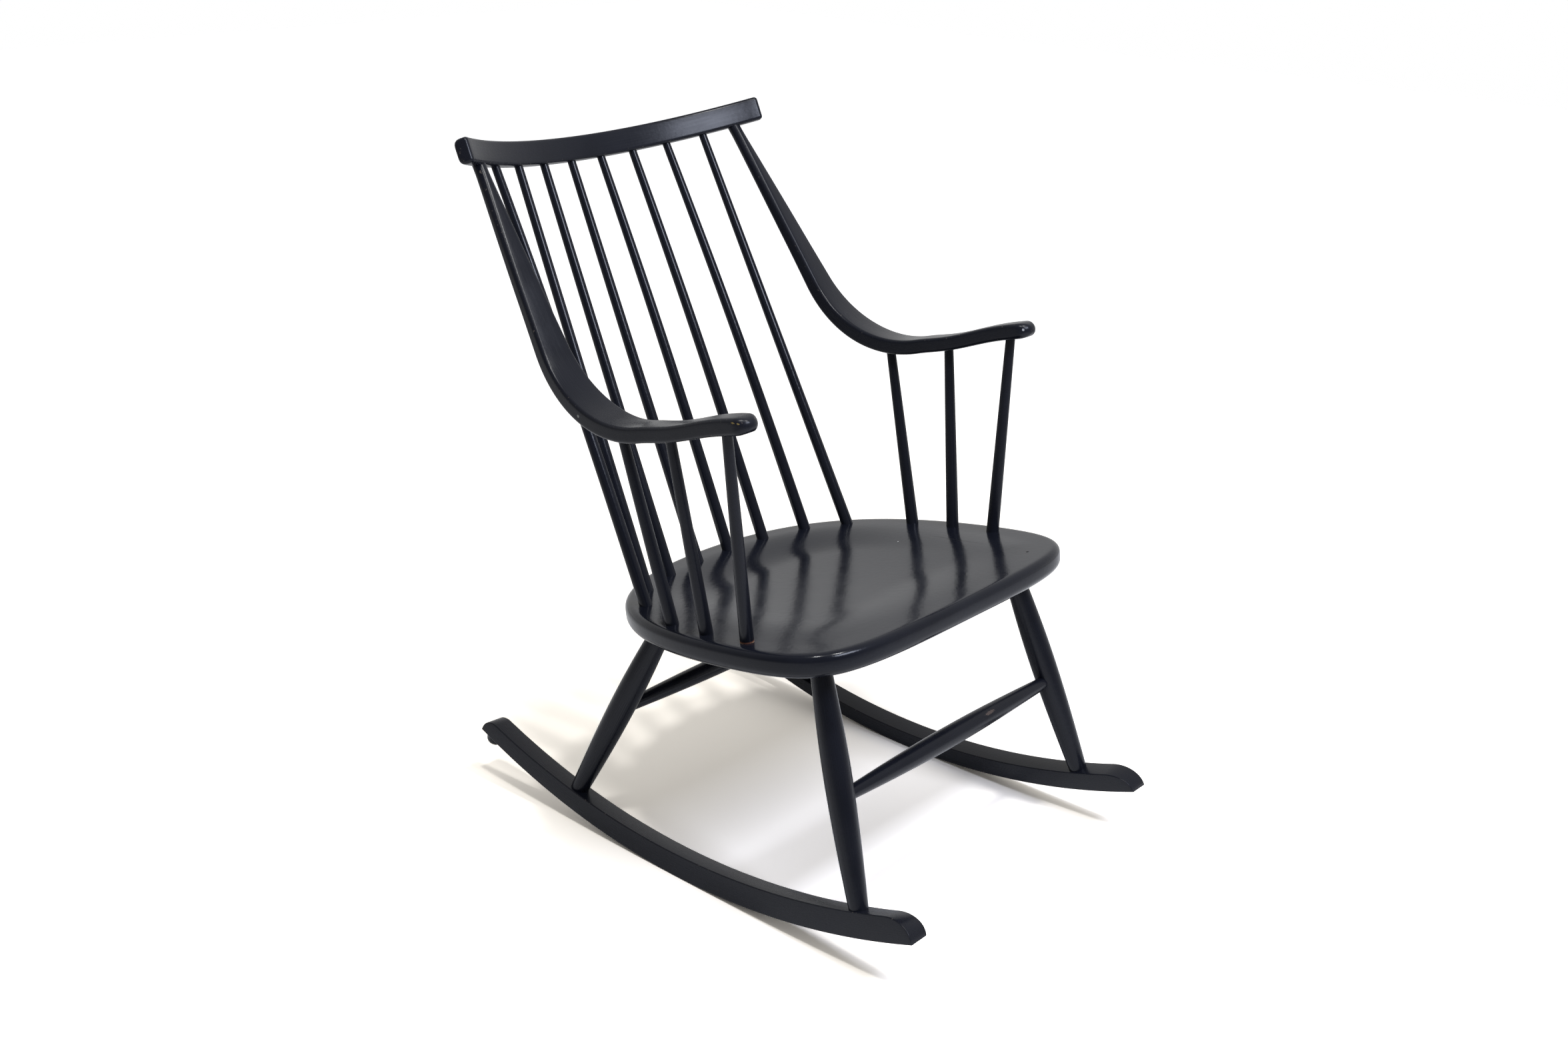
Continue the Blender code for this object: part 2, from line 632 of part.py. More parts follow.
def make_stretcher(end, drop, belly, legs):
    """A swelled stretcher, a drop below the seat; its ends stop short of the legs' middles."""
    foot, head = leg_ends(end, 1)
    share = drop / (head.z - foot.z)
    joint = head + (foot - head) * share
    half = joint.x - STRETCHER_STOP_SHORT
    profile = []
    for i in range(STRETCHER_STEPS + 1):
        share = i / STRETCHER_STEPS
        swell = math.sin(math.pi * share)
        diameter = STRETCHER_END_DIAMETER + (belly - STRETCHER_END_DIAMETER) * swell
        profile.append((half * (1 - 2 * share), diameter / 2))
    turned(f"{end}_stretcher", Vector((0, joint.y, joint.z)), Vector((1, 0, 0)), profile, LEG_SIDES, legs)


def stand_on_floor():
    """Moves the chair so that the origin lies on the floor under the middle of its box."""
    bpy.context.view_layer.update()
    graph = bpy.context.evaluated_depsgraph_get()
    corners = []
    for piece in PIECES.objects:
        solid = piece.evaluated_get(graph)
        corners += [solid.matrix_world @ vertex.co for vertex in solid.data.vertices]
    low = [min(corner[i] for corner in corners) for i in range(3)]
    high = [max(corner[i] for corner in corners) for i in range(3)]
    REST.location = (-(low[0] + high[0]) / 2, -(low[1] + high[1]) / 2, -low[2])
    bpy.context.view_layer.update()


def make_chair():
    """Makes every piece, from the seat outwards."""
    seat = make_seat()
    crest = make_crest()
    make_back_spindles(seat, crest)
    legs = {"front": [], "rear": []}
    for word, side in SIDES:
        arm, path = make_arm(word, side, crest)
        make_arm_spindles(word, side, seat, arm, path)
        rocker = make_rocker(word, side)
        make_rocker_stop(word, side, rocker)
        for end, pair in legs.items():
            pair.append(make_leg(word, end, side, seat, rocker))
    make_stretcher("front", FRONT_STRETCHER_DROP, FRONT_STRETCHER_BELLY, legs["front"])
    make_stretcher("rear", REAR_STRETCHER_DROP, REAR_STRETCHER_BELLY, legs["rear"])
    stand_on_floor()


REST, PIECES, CUTTERS = start_scene()
make_chair()
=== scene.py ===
"""A spindle-back rocking chair in satin black paint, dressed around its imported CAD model.

Every painted piece stands in for the CAD solid of its name. The chair is laid out with its seat level, X to
the sitter's left, Y to the back and Z up from the seat's top, and each point is then leaned back and set on
the floor in the way that the solids stand at rest. Sizes are in metres.
"""
import math

import bmesh
import bpy
from bpy.props import FloatProperty, FloatVectorProperty, PointerProperty, StringProperty
from mathutils import Matrix, Vector


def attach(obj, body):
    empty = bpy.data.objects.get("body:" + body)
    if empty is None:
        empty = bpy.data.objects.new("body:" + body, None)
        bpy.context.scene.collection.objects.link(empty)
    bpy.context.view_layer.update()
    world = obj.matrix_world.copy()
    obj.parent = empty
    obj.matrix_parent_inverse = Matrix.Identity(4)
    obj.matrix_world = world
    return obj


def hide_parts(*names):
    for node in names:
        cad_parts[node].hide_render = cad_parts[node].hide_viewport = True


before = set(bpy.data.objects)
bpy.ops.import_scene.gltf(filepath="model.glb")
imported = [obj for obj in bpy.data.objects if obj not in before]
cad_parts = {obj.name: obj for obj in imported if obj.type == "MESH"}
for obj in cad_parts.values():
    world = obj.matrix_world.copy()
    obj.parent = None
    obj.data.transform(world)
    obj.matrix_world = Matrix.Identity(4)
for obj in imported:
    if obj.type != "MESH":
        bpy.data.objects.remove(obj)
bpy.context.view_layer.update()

bl_info = {
    "name": "Spindle-back rocking chair",
    "version": (1, 0, 0),
    "blender": (4, 5, 0),
    "location": "View3D > Sidebar > Chair",
    "description": "Models the painted pieces of a rocking chair over its solids",
    "category": "Add Mesh",
}
SIDES = (("left", 1), ("right", -1))

# How far a round end goes into the piece that holds it
SEAT_TENON = 0.008
CREST_TENON = 0.006
LEG_TENON = 0.010
STOP_PEG = 0.004

# Points round each kind of turned piece
SPINDLE_POINTS = 32
LEG_POINTS = 40
STRETCHER_POINTS = 36
STOP_POINTS = 32

# Where the grain of each kind of piece starts, so that no two pieces have the same brush marks
CREST_GRAIN = 3
BACK_SPINDLE_GRAIN = 5
ARM_GRAIN = 20
ARM_SPINDLE_GRAIN = 30
LEG_GRAIN = 40
STRETCHER_GRAIN = 50
ROCKER_GRAIN = 60
STOP_GRAIN = 70


# Settings

def metres(name, description, default):
    """A length that a user may change."""
    return FloatProperty(name=name, description=description, default=default, unit="LENGTH", precision=5)


def degrees(name, description, default):
    """An angle that a user may change, with its default in degrees."""
    return FloatProperty(name=name, description=description, default=math.radians(default), subtype="ANGLE")


def factor(name, description, default):
    """A share or a strength that a user may change."""
    return FloatProperty(name=name, description=description, default=default, subtype="FACTOR")


def watts(name, description, default):
    """A lamp's power that a user may change."""
    return FloatProperty(name=name, description=description, default=default, unit="POWER")


def hex_code(name, description, default):
    """A colour that a user may change, as an sRGB hex code."""
    return StringProperty(name=name, description=description, default=default)


class PoseSizes(bpy.types.PropertyGroup):
    """How the level chair is leaned back and set on the floor."""
    tilt: degrees("Rest tilt", "How far the seat leans back at rest", 9.5)
    back: metres("Shift back", "From the origin to the level seat's zero, to the back", 0.07683)
    up: metres("Shift up", "Height of the level seat's zero above the floor", 0.34100)


class SeatSizes(bpy.types.PropertyGroup):
    """The seat board."""
    thickness: metres("Thickness", "Thickness of the board", 0.032)
    half_width: metres("Half width", "From the middle to the widest point", 0.2885)
    widest: metres("Widest at", "Where along the seat it is widest", -0.217)
    back: metres("Back edge", "Where the back edge lies", 0.1145)
    front: metres("Front edge", "Where the front edge lies", -0.3805)
    back_fullness: metres("Back fullness", "How squarely the back edge turns", 0.224)
    rear_fullness: metres("Rear side fullness", "How squarely the sides turn back", 0.182)
    side_fullness: metres("Front side fullness", "How squarely the sides turn forward", 0.160)
    front_fullness: metres("Front fullness", "How squarely the front edge turns", 0.237)
    top_rounding: metres("Top rounding", "Radius of the top edge", 0.010)
    under_rounding: metres("Under rounding", "Height of the lower edge's rounding", 0.013)
    under_inset: metres("Under inset", "How far the lower edge's rounding reaches in", 0.014)
    rim: metres("Rim", "Width of the flat rim that carries the spindles", 0.035)
    dish_slope: metres("Dish slope", "Width of the slope from the rim into the dish", 0.105)
    dish_depth: metres("Dish depth", "Depth of the dished top in the seat's middle", 0.0085)
    dish_lean: degrees("Dish lean", "How far the dish's floor leans down to the back", 1.7)
    dish_radius: metres("Dish radius", "Radius of the dish's floor across the seat", 3.1)


class BackSizes(bpy.types.PropertyGroup):
    """The crest rail and the back spindles."""
    lean: degrees("Lean", "How far the back leans from the level seat", 16.2)
    radius: metres("Crest radius", "Radius of the crest's arc", 0.485)
    set_back: metres("Crest set back", "How far the crest's middle lies back", 0.075)
    underside: metres("Crest underside", "Height of the spindles' shoulders along the back", 0.610)
    height: metres("Crest height", "Height of the board", 0.0338)
    lap: metres("Crest lap", "How far the board laps over the spindle heads", 0.0027)
    thickness: metres("Crest thickness", "Thickness of the board", 0.020)
    half_span: metres("Crest half span", "From the middle to an end", 0.2807)
    rounding: metres("Crest rounding", "Radius of the board's front edges and ends", 0.0045)
    back_rounding: metres("Crest back rounding", "Radius of the board's back edges", 0.0100)
    inset_side: metres("Feet inset, side", "From the seat's side to the outer foot", 0.0755)
    inset_back: metres("Feet inset, back", "From the seat's back to the middle feet", 0.039)
    depth: metres("Feet curve", "Depth of the half ellipse of the feet", 0.093)
    pitch: metres("Head pitch", "Spacing of the spindles in the crest", 0.0565)
    foot: metres("Foot diameter", "Spindle diameter at the seat", 0.0172)
    head: metres("Head diameter", "Spindle diameter at the crest", 0.0115)
    bow: metres("Bow", "How far the warped spindles bow to the front", 0.005)


class ArmSizes(bpy.types.PropertyGroup):
    """The bent arms and the spindles that carry them."""
    crest_inset: metres("Crest inset", "From the crest's end to the arm's tenon", 0.0383)
    corner_y: metres("Corner, back", "Where the straight parts would meet, to the back", 0.0028)
    corner_z: metres("Corner, up", "Where the straight parts would meet, upwards", 0.2428)
    bend: metres("Bend radius", "Radius of the bend", 0.170)
    rise: degrees("Rise", "How far the rest rises to its nose", 8.0)
    skew: degrees("Skew", "How much more the left arm's rest rises, and the right one's less", 0.5)
    sway: metres("Sway", "How far the rest dips and then lifts from a straight line", 0.0022)
    rest: metres("Rest length", "From that corner to the nose", 0.3065)
    nose_x: metres("Nose spread", "From the chair's middle to the nose", 0.2865)
    plan_bow: metres("Plan bow", "How far the arm bows outwards", 0.0035)
    neck: metres("Neck", "Length of the round part below the crest", 0.014)
    top: metres("Top diameter", "Diameter below the crest", 0.0176)
    taper_width: metres("Width above", "Width halfway to the bend", 0.0359)
    bend_width: metres("Width at the bend", "Width in the bend", 0.0515)
    rest_width: metres("Width at the rest", "Width halfway to the nose", 0.0405)
    nose_width: metres("Width at the nose", "Width at the nose", 0.0349)
    taper_thickness: metres("Thickness above", "Thickness halfway to the bend", 0.0190)
    bend_thickness: metres("Thickness at the bend", "Thickness in the bend", 0.0226)
    rest_thickness: metres("Thickness at the rest", "Thickness halfway to the nose", 0.0208)
    nose_thickness: metres("Thickness at the nose", "Thickness at the nose", 0.0222)
    arris: metres("Arris", "Radius of the eased edges below the round part", 0.0046)
    twist: degrees("Twist", "How far the upper part's flat is turned outwards", 6.8)
    nose_rounding: metres("Nose rounding", "Length of the rounded nose", 0.017)
    foot: metres("Foot diameter", "Arm spindle diameter at the seat", 0.0178)
    head: metres("Head diameter", "Arm spindle diameter at the arm", 0.0128)


class LegSizes(bpy.types.PropertyGroup):
    """The turned legs and the cross stretchers."""
    top: metres("Top diameter", "Diameter at the seat", 0.026)
    belly: metres("Belly diameter", "Diameter at the belly", 0.0358)
    foot: metres("Foot diameter", "Diameter at the rocker", 0.025)
    belly_at: factor("Belly at", "Where the belly lies, as a share from the top", 0.45)
    front_inset_side: metres("Front inset, side", "Front leg's head from the side", 0.0827)
    front_inset: metres("Front inset", "Front leg's head from the front edge", 0.0839)
    rear_inset_side: metres("Rear inset, side", "Rear leg's head from the side", 0.1035)
    rear_inset: metres("Rear inset", "Rear leg's head from the back edge", 0.1244)
    front_foot: metres("Front foot", "Where the front leg's foot lies", -0.360)
    rear_foot: metres("Rear foot", "Where the rear leg's foot lies", 0.1365)
    front_drop: metres("Front stretcher drop", "Below the seat's underside", 0.165)
    rear_drop: metres("Rear stretcher drop", "Below the seat's underside", 0.126)
    stretcher_end: metres("Stretcher end", "Diameter at a stretcher's ends", 0.0165)
    stretcher_short: metres("Stretcher short", "From a leg's middle to a stretcher's end", 0.004)
    front_belly: metres("Front stretcher belly", "Diameter at its middle", 0.0285)
    rear_belly: metres("Rear stretcher belly", "Diameter at its middle", 0.0265)


class RockerSizes(bpy.types.PropertyGroup):
    """The rockers and the stops under their rear ends."""
    centre_y: metres("Centre, back", "Centre of the sole's arc, to the back", -0.2280)
    centre_z: metres("Centre, up", "Centre of the sole's arc above the seat", 0.6777)
    sole_radius: metres("Sole radius", "Radius of the sole", 1.0470)
    top_radius: metres("Top radius", "Radius of the top", 1.0497)
    top_shift: metres("Top shift", "How far the top's centre lies behind the sole's", 0.0080)
    height: metres("Height", "Height in the middle", 0.0293)
    width: metres("Width", "Width of the sole", 0.030)
    spread: metres("Spread", "From the chair's middle to the sole's middle", 0.2520)
    cant: degrees("Cant", "How far the top leans in", 10)
    front: degrees("Front reach", "Turn from the contact to the front tip", 22.05)
    rear: degrees("Rear reach", "Turn from the contact to the rear tip", 21.7)
    front_nose: metres("Front nose", "Length of the front rounding", 0.040)
    rear_nose: metres("Rear nose", "Length of the rear rounding", 0.020)
    front_tip: metres("Front tip", "Height that is left at the front tip", 0.0034)
    rear_tip: metres("Rear tip", "Height that is left at the rear tip", 0.006)
    arris: metres("Arris", "Radius of the eased edges", 0.0014)
    stop_from_end: metres("Stop from end", "From the rear tip to the stop's middle", 0.017)
    stop_diameter: metres("Stop diameter", "Diameter of a stop", 0.025)
    stop_height: metres("Stop height", "Height of a stop", 0.018)


class PaintLook(bpy.types.PropertyGroup):
    """The paint and what shows where it is rubbed or chipped."""
    deep: hex_code("Deep black", "Colour where the paint is thick", "#0d0f16")
    thin: hex_code("Thin black", "Colour where the paint is thin", "#15171f")
    ground: hex_code("Ground", "Colour that shows along rubbed arrises", "#57504a")
    roughness: factor("Roughness", "Mean roughness of the paint", 0.27)
    spindle_roughness: factor("Spindle roughness", "Mean roughness of the back spindles", 0.18)
    seat_roughness: factor("Seat roughness", "Mean roughness of the seat's paint", 0.17)
    bare_roughness: factor("Bare roughness", "Roughness of the wood and the ground", 0.65)
    sheen: factor("Sheen", "How far the roughness comes and goes about its mean", 0.045)
    ior: FloatProperty(name="IOR", description="Refraction of the paint, low because its sheen has worn",
                       default=1.29)
    streak: metres("Brush mark", "Width of one brush mark", 0.0018)
    streak_run: FloatProperty(name="Brush mark run", description="Length of a brush mark in its own widths",
                              default=30)
    streak_depth: metres("Brush mark depth", "Depth of a brush mark", 0.0004)
    streak_relief: factor("Brush mark relief", "How clearly the brush marks stand out", 0.035)
    cloud: metres("Cloud", "Size of the clouds in the paint's sheen", 0.055)
    peel: metres("Peel", "Size of the ripples that the paint dried with", 0.006)
    peel_depth: metres("Peel depth", "Depth of the ripples", 0.001)
    peel_relief: factor("Peel relief", "How clearly the ripples stand out", 0.10)
    ragged: metres("Ragged edge", "Size of the breaks along the edge of a chip", 0.002)
    fleck: metres("Fleck", "Size of the flecks along the arrises", 0.004)


class StageLook(bpy.types.PropertyGroup):
    """The camera, the lamps and the room."""
    camera_place: FloatVectorProperty(name="Camera", description="Place of the camera", subtype="TRANSLATION",
                                      default=(-1.77117, -1.48866, 1.33262))
    camera_turn: FloatVectorProperty(name="Camera turn", description="Turn of the camera", subtype="EULER",
                                     default=[math.radians(a) for a in (68.478, -1.838, -48.874)])
    lens: FloatProperty(name="Lens", description="Focal length of the camera", default=41.93, unit="CAMERA")
    sensor: FloatProperty(name="Sensor", description="Width of the sensor", default=36, unit="CAMERA")
    overhead: watts("Overhead lamps", "Power of each lamp above", 18.0)
    front: watts("Front lamp", "Power of the lamp in front", 52.0)
    wall: factor("Walls", "Brightness of the room's walls above the white sweep", 0.74)
    dim_end: factor("Dim end", "Brightness of the room's end behind the camera", 0.33)
    bright_end: FloatVectorProperty(name="Bright end", description="The way to the room's bright end",
                                    subtype="DIRECTION", default=(0.83, 0.56, 0))


class ChairSettings(bpy.types.PropertyGroup):
    """All of the chair's sizes and looks."""
    pose: PointerProperty(type=PoseSizes, name="Pose", description="How the chair stands at rest")
    seat: PointerProperty(type=SeatSizes, name="Seat", description="Sizes of the seat")
    back: PointerProperty(type=BackSizes, name="Back", description="Sizes of the crest and its spindles")
    arm: PointerProperty(type=ArmSizes, name="Arms", description="Sizes of the arms and their spindles")
    leg: PointerProperty(type=LegSizes, name="Legs", description="Sizes of the legs and the stretchers")
    rocker: PointerProperty(type=RockerSizes, name="Rockers", description="Sizes of the rockers and stops")
    paint: PointerProperty(type=PaintLook, name="Paint", description="Look of the paint")
    stage: PointerProperty(type=StageLook, name="Stage", description="Look of the stage")


# Layout: where the pieces meet, with the seat level

def leaned(chair):
    """The turn and shift from the level chair to the chair at rest."""
    pose = chair.pose
    return Matrix.Translation((0, pose.back, pose.up)) @ Matrix.Rotation(-pose.tilt, 4, "X")


def crest_point(back, x, out, height):
    """A point in the crest's arc, out from its middle line, at a height along the leaning back."""
    turn = math.asin(x / back.radius)
    reach = back.radius + out
    flat = Vector((reach * math.sin(turn), back.set_back - back.radius + reach * math.cos(turn), height))
    return Matrix.Rotation(-back.lean, 4, "X") @ flat


def back_foot(chair, angle):
    """Where a back spindle meets the seat, at an angle from the middle of the back."""
    seat, back = chair.seat, chair.back
    half = seat.half_width - back.inset_side
    middle = seat.back - back.inset_back - back.depth
    return Vector((half * math.sin(angle), middle + back.depth * math.cos(angle), 0))


def smooth(s, stops):
    """A value that runs smoothly through stops, each a distance and a value."""
    last = len(stops) - 1
    i = max(k for k in range(last) if k == 0 or stops[k][0] <= s)
    slopes = []
    for k in (i, i + 1):
        (start, low), (end, high) = stops[max(k - 1, 0)], stops[min(k + 1, last)]
        slopes.append((high - low) / (end - start))
    (start, low), (end, high) = stops[i], stops[i + 1]
    step = end - start
    t = min(max((s - start) / step, 0), 1)
    u = 1 - t
    value = (1 + 2 * t) * u * u * low + t * u * u * step * slopes[0]
    value += (3 - 2 * t) * t * t * high
    return value - u * t * t * step * slopes[1]


class ArmLine:
    """An arm's middle line: straight down from the crest, an even bend, and a rest that sways a little."""

    def __init__(self, chair, side):
        arm, back = chair.arm, chair.back
        self.arm = arm
        self.side = side
        self.top = crest_point(back, back.half_span - arm.crest_inset, 0, back.underside)
        self.start = Vector((self.top.y, self.top.z))
        corner = Vector((arm.corner_y, arm.corner_z))
        self.down = (corner - self.start).normalized()
        rise = arm.rise + side * arm.skew
        self.forward = Vector((-math.cos(rise), math.sin(rise)))
        turn = self.down.angle(self.forward)
        tangent = arm.bend * math.tan(turn / 2)
        self.straight = (corner - self.start).length - tangent
        self.bend = arm.bend * turn
        self.length = self.straight + self.bend + arm.rest - tangent

    def point(self, s):
        """The point at a distance along the arm from the crest; a negative one lies in the crest."""
        arm = self.arm
        bent = min(max(s - self.straight, 0), self.bend) / arm.bend
        inward = Vector((self.down.y, -self.down.x))
        flat = self.start + self.down * min(s, self.straight)
        flat = flat + arm.bend * (math.sin(bent) * self.down + (1 - math.cos(bent)) * inward)
        run = max(s - self.straight - self.bend, 0)
        flat = flat + self.forward * run
        share = run / (self.length - self.straight - self.bend)
        # the sway starts gently, so that it leaves no kink at the end of the bend
        onset = 1 - (1 - share) ** 6
        sway = arm.sway * math.sin(2 * math.pi * share) * onset
        flat = flat - sway * Vector((self.forward.y, -self.forward.x))
        share = s / self.length
        across = self.top.x + (arm.nose_x - self.top.x) * share + 4 * arm.plan_bow * share * (1 - share)
        return Vector((self.side * across, flat.x, flat.y))

    def axes(self, s):
        """The ways outwards across the arm and up through it at a distance along it."""
        step = 0.0005
        along = (self.point(s + step) - self.point(s - step)).normalized()
        across = Vector((self.side, 0, 0))
        across = (across - across.project(along)).normalized()
        return across, along.cross(across) * self.side


def rocker_rise(rocker):
    """How far the top arc's centre lies above the sole arc's."""
    return rocker.top_radius + rocker.height - rocker.sole_radius


def rocker_top(rocker, side, y):
    """The point on the middle of a rocker's top at a place along the level chair."""
    across = rocker.spread - rocker.height * math.tan(rocker.cant)
    drop = math.sqrt(rocker.top_radius ** 2 - (y - rocker.centre_y - rocker.top_shift) ** 2)
    return Vector((side * across, y, rocker.centre_z + rocker_rise(rocker) - drop))


def sole_centre(chair, side):
    """The centre of a rocker's sole, on the chair at rest."""
    rocker = chair.rocker
    return leaned(chair) @ Vector((side * rocker.spread, rocker.centre_y, rocker.centre_z))


def leg_ends(chair, end, side):
    """A leg's foot on its rocker and its head under the seat."""
    seat, leg = chair.seat, chair.leg
    if end == "front":
        x, y = seat.half_width - leg.front_inset_side, seat.front + leg.front_inset
        foot_y = leg.front_foot
    else:
        x, y = seat.half_width - leg.rear_inset_side, seat.back - leg.rear_inset
        foot_y = leg.rear_foot
    return rocker_top(chair.rocker, side, foot_y), Vector((side * x, y, -seat.thickness))


# Shaping: a disc is extruded into turned pieces and through rings of points

def quarter(steps):
    """The angles of a quarter turn, from its start to its end."""
    return [math.pi / 2 * i / steps for i in range(steps + 1)]


def add_disc(solid, points, radius, place=(0, 0, 0), turn=(0, 0, 0)):
    """Adds a flat disc for a solid's painted piece in edit mode, alone and selected all over."""
    bpy.ops.object.select_all(action="DESELECT")
    bpy.ops.mesh.primitive_circle_add(vertices=points, radius=radius, fill_type="NGON", location=place,
                                      rotation=turn)
    piece = bpy.context.active_object
    piece.name = f"painted_{solid}"
    piece.data.name = piece.name
    bpy.ops.object.mode_set(mode="EDIT")
    return piece


def turn_piece(solid, stations, points, seed, paint):
    """Turns a round piece: a disc is drawn out from station to station, each a point and a radius.

    Its grain attribute runs along the piece, and the seed keeps two pieces' brush marks apart.
    """
    here, size = stations[0]
    axis = (stations[-1][0] - here).normalized()
    turn = axis.to_track_quat("Z", "Y")
    piece = add_disc(solid, points, size, here, turn.to_euler())
    for point, radius in stations[1:]:
        bpy.ops.mesh.extrude_region_move(TRANSFORM_OT_translate={"value": point - here})
        share = radius / size
        bpy.ops.transform.resize(value=(share, share, share), center_override=point)
        here, size = point, radius
    bpy.ops.object.mode_set(mode="OBJECT")
    bpy.ops.object.transform_apply(location=True, rotation=True, scale=True)
    grain = piece.data.attributes.new("grain", "FLOAT_VECTOR", "POINT")
    foot = stations[0][0]
    for vertex, value in zip(piece.data.vertices, grain.data):
        local = turn.inverted() @ (vertex.co - foot)
        value.vector = (local.z + seed, local.x, local.y)
    finish_piece(piece, solid, paint)


def loft_piece(solid, rings, paint):
    """Draws a disc out through rings of points, each with its place, its place in the grain and its rub.

    The rub is 1 along the middle of an arris, where hands and cloth wear the paint, and 0 on a face.
    """
    piece = add_disc(solid, len(rings[0]), radius=0.01)
    for i, ring in enumerate(rings):
        if i:
            bpy.ops.mesh.extrude_region_move()
        shape = bmesh.from_edit_mesh(piece.data)
        if not i:
            shape.verts.layers.int.new("order")
            shape.verts.layers.float_vector.new("grain")
            shape.verts.layers.float.new("rub")
            order = shape.verts.layers.int["order"]
            for k, vert in enumerate(shape.verts):
                vert[order] = k
        order = shape.verts.layers.int["order"]
        grain = shape.verts.layers.float_vector["grain"]
        rub = shape.verts.layers.float["rub"]
        for vert in shape.verts:
            if vert.select:
                vert.co, vert[grain], vert[rub] = ring[vert[order]]
        bmesh.update_edit_mesh(piece.data)
    bpy.ops.object.mode_set(mode="OBJECT")
    piece.data.attributes.remove(piece.data.attributes["order"])
    finish_piece(piece, solid, paint)


def rounded(corners, radii, steps):
    """The points of a flat outline with each corner rounded to its radius, and the rub of each."""
    points = []
    for i, corner in enumerate(corners):
        before = (corners[i - 1] - corner).normalized()
        after = (corners[(i + 1) % len(corners)] - corner).normalized()
        reach = radii[i] / math.tan(before.angle(after) / 2)
        start, end = corner + before * reach, corner + after * reach
        for k in range(steps + 1):
            t = k / steps
            place = (1 - t) ** 2 * start + 2 * t * (1 - t) * corner + t * t * end
            points.append((*place, 1 - abs(2 * t - 1)))
    return points


def finish_piece(piece, node, paint):
    """Turns the faces outwards, tests that the piece is closed, paints it and puts it in its node's place."""
    weld = 0.00001
    sharp = math.radians(40)
    bpy.ops.object.select_all(action="DESELECT")
    piece.select_set(True)
    bpy.context.view_layer.objects.active = piece
    bpy.ops.object.mode_set(mode="EDIT")
    bpy.ops.mesh.select_all(action="SELECT")
    bpy.ops.mesh.remove_doubles(threshold=weld)
    bpy.ops.mesh.normals_make_consistent(inside=False)
    shape = bmesh.from_edit_mesh(piece.data)
    if any(len(edge.link_faces) != 2 for edge in shape.edges):
        raise ValueError(f"{piece.name} isn't closed")
    bpy.ops.object.mode_set(mode="OBJECT")
    bpy.ops.object.shade_smooth_by_angle(angle=sharp)
    piece.data.materials.append(paint)
    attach(piece, "root")
    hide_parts(node)


# Materials

def linear(code):
    """A linear colour from an sRGB hex code."""
    values = [int(code[i:i + 2], 16) / 255 for i in (1, 3, 5)]
    return [v / 12.92 if v <= 0.04045 else ((v + 0.055) / 1.055) ** 2.4 for v in values] + [1.0]


def node(tree, kind, inputs=None, **settings):
    """Adds a node, sets it up and feeds its inputs; an output socket among them is linked."""
    made = tree.nodes.new(kind)
    for key, value in settings.items():
        setattr(made, key, value)
    for key, value in (inputs or {}).items():
        if isinstance(value, bpy.types.NodeSocket):
            tree.links.new(value, made.inputs[key])
        else:
            made.inputs[key].default_value = value
    return made


def spot(tree, place, ragged, middle, reach, turn):
    """A ragged spot with a reach each way from its middle, turned about the upright: 1 inside, 0 outside."""
    # in reaches: how far the edge wanders, and where its mean line starts and ends
    wander, inner, outer = 1.6, 0.9, 1.1
    near = node(tree, "ShaderNodeMapping", {
        "Vector": place, "Location": middle, "Rotation": (0, 0, turn), "Scale": reach},
        vector_type="TEXTURE").outputs["Vector"]
    far = node(tree, "ShaderNodeVectorMath", {0: near}, operation="LENGTH").outputs["Value"]
    far = node(tree, "ShaderNodeMath", {0: ragged, 1: wander, 2: far}, operation="MULTIPLY_ADD").outputs[0]
    return node(tree, "ShaderNodeMapRange", {
        "Value": far, "From Min": outer + wander / 2, "From Max": inner + wander / 2}).outputs["Result"]


def band(tree, along, ragged, low, high):
    """A ragged band between two distances along the grain: 1 inside, 0 outside."""
    # in half widths: how far the edge wanders, and where its mean line starts and ends
    wander, inner, outer = 1.0, 0.9, 1.05
    half = (high - low) / 2
    far = node(tree, "ShaderNodeMath", {0: along, 1: (low + high) / 2}, operation="SUBTRACT").outputs[0]
    far = node(tree, "ShaderNodeMath", {0: far}, operation="ABSOLUTE").outputs[0]
    far = node(tree, "ShaderNodeMath", {
        0: ragged, 1: half * wander, 2: far}, operation="MULTIPLY_ADD").outputs[0]
    return node(tree, "ShaderNodeMapRange", {
        "Value": far, "From Min": half * (outer + wander / 2),
        "From Max": half * (inner + wander / 2)}).outputs["Result"]


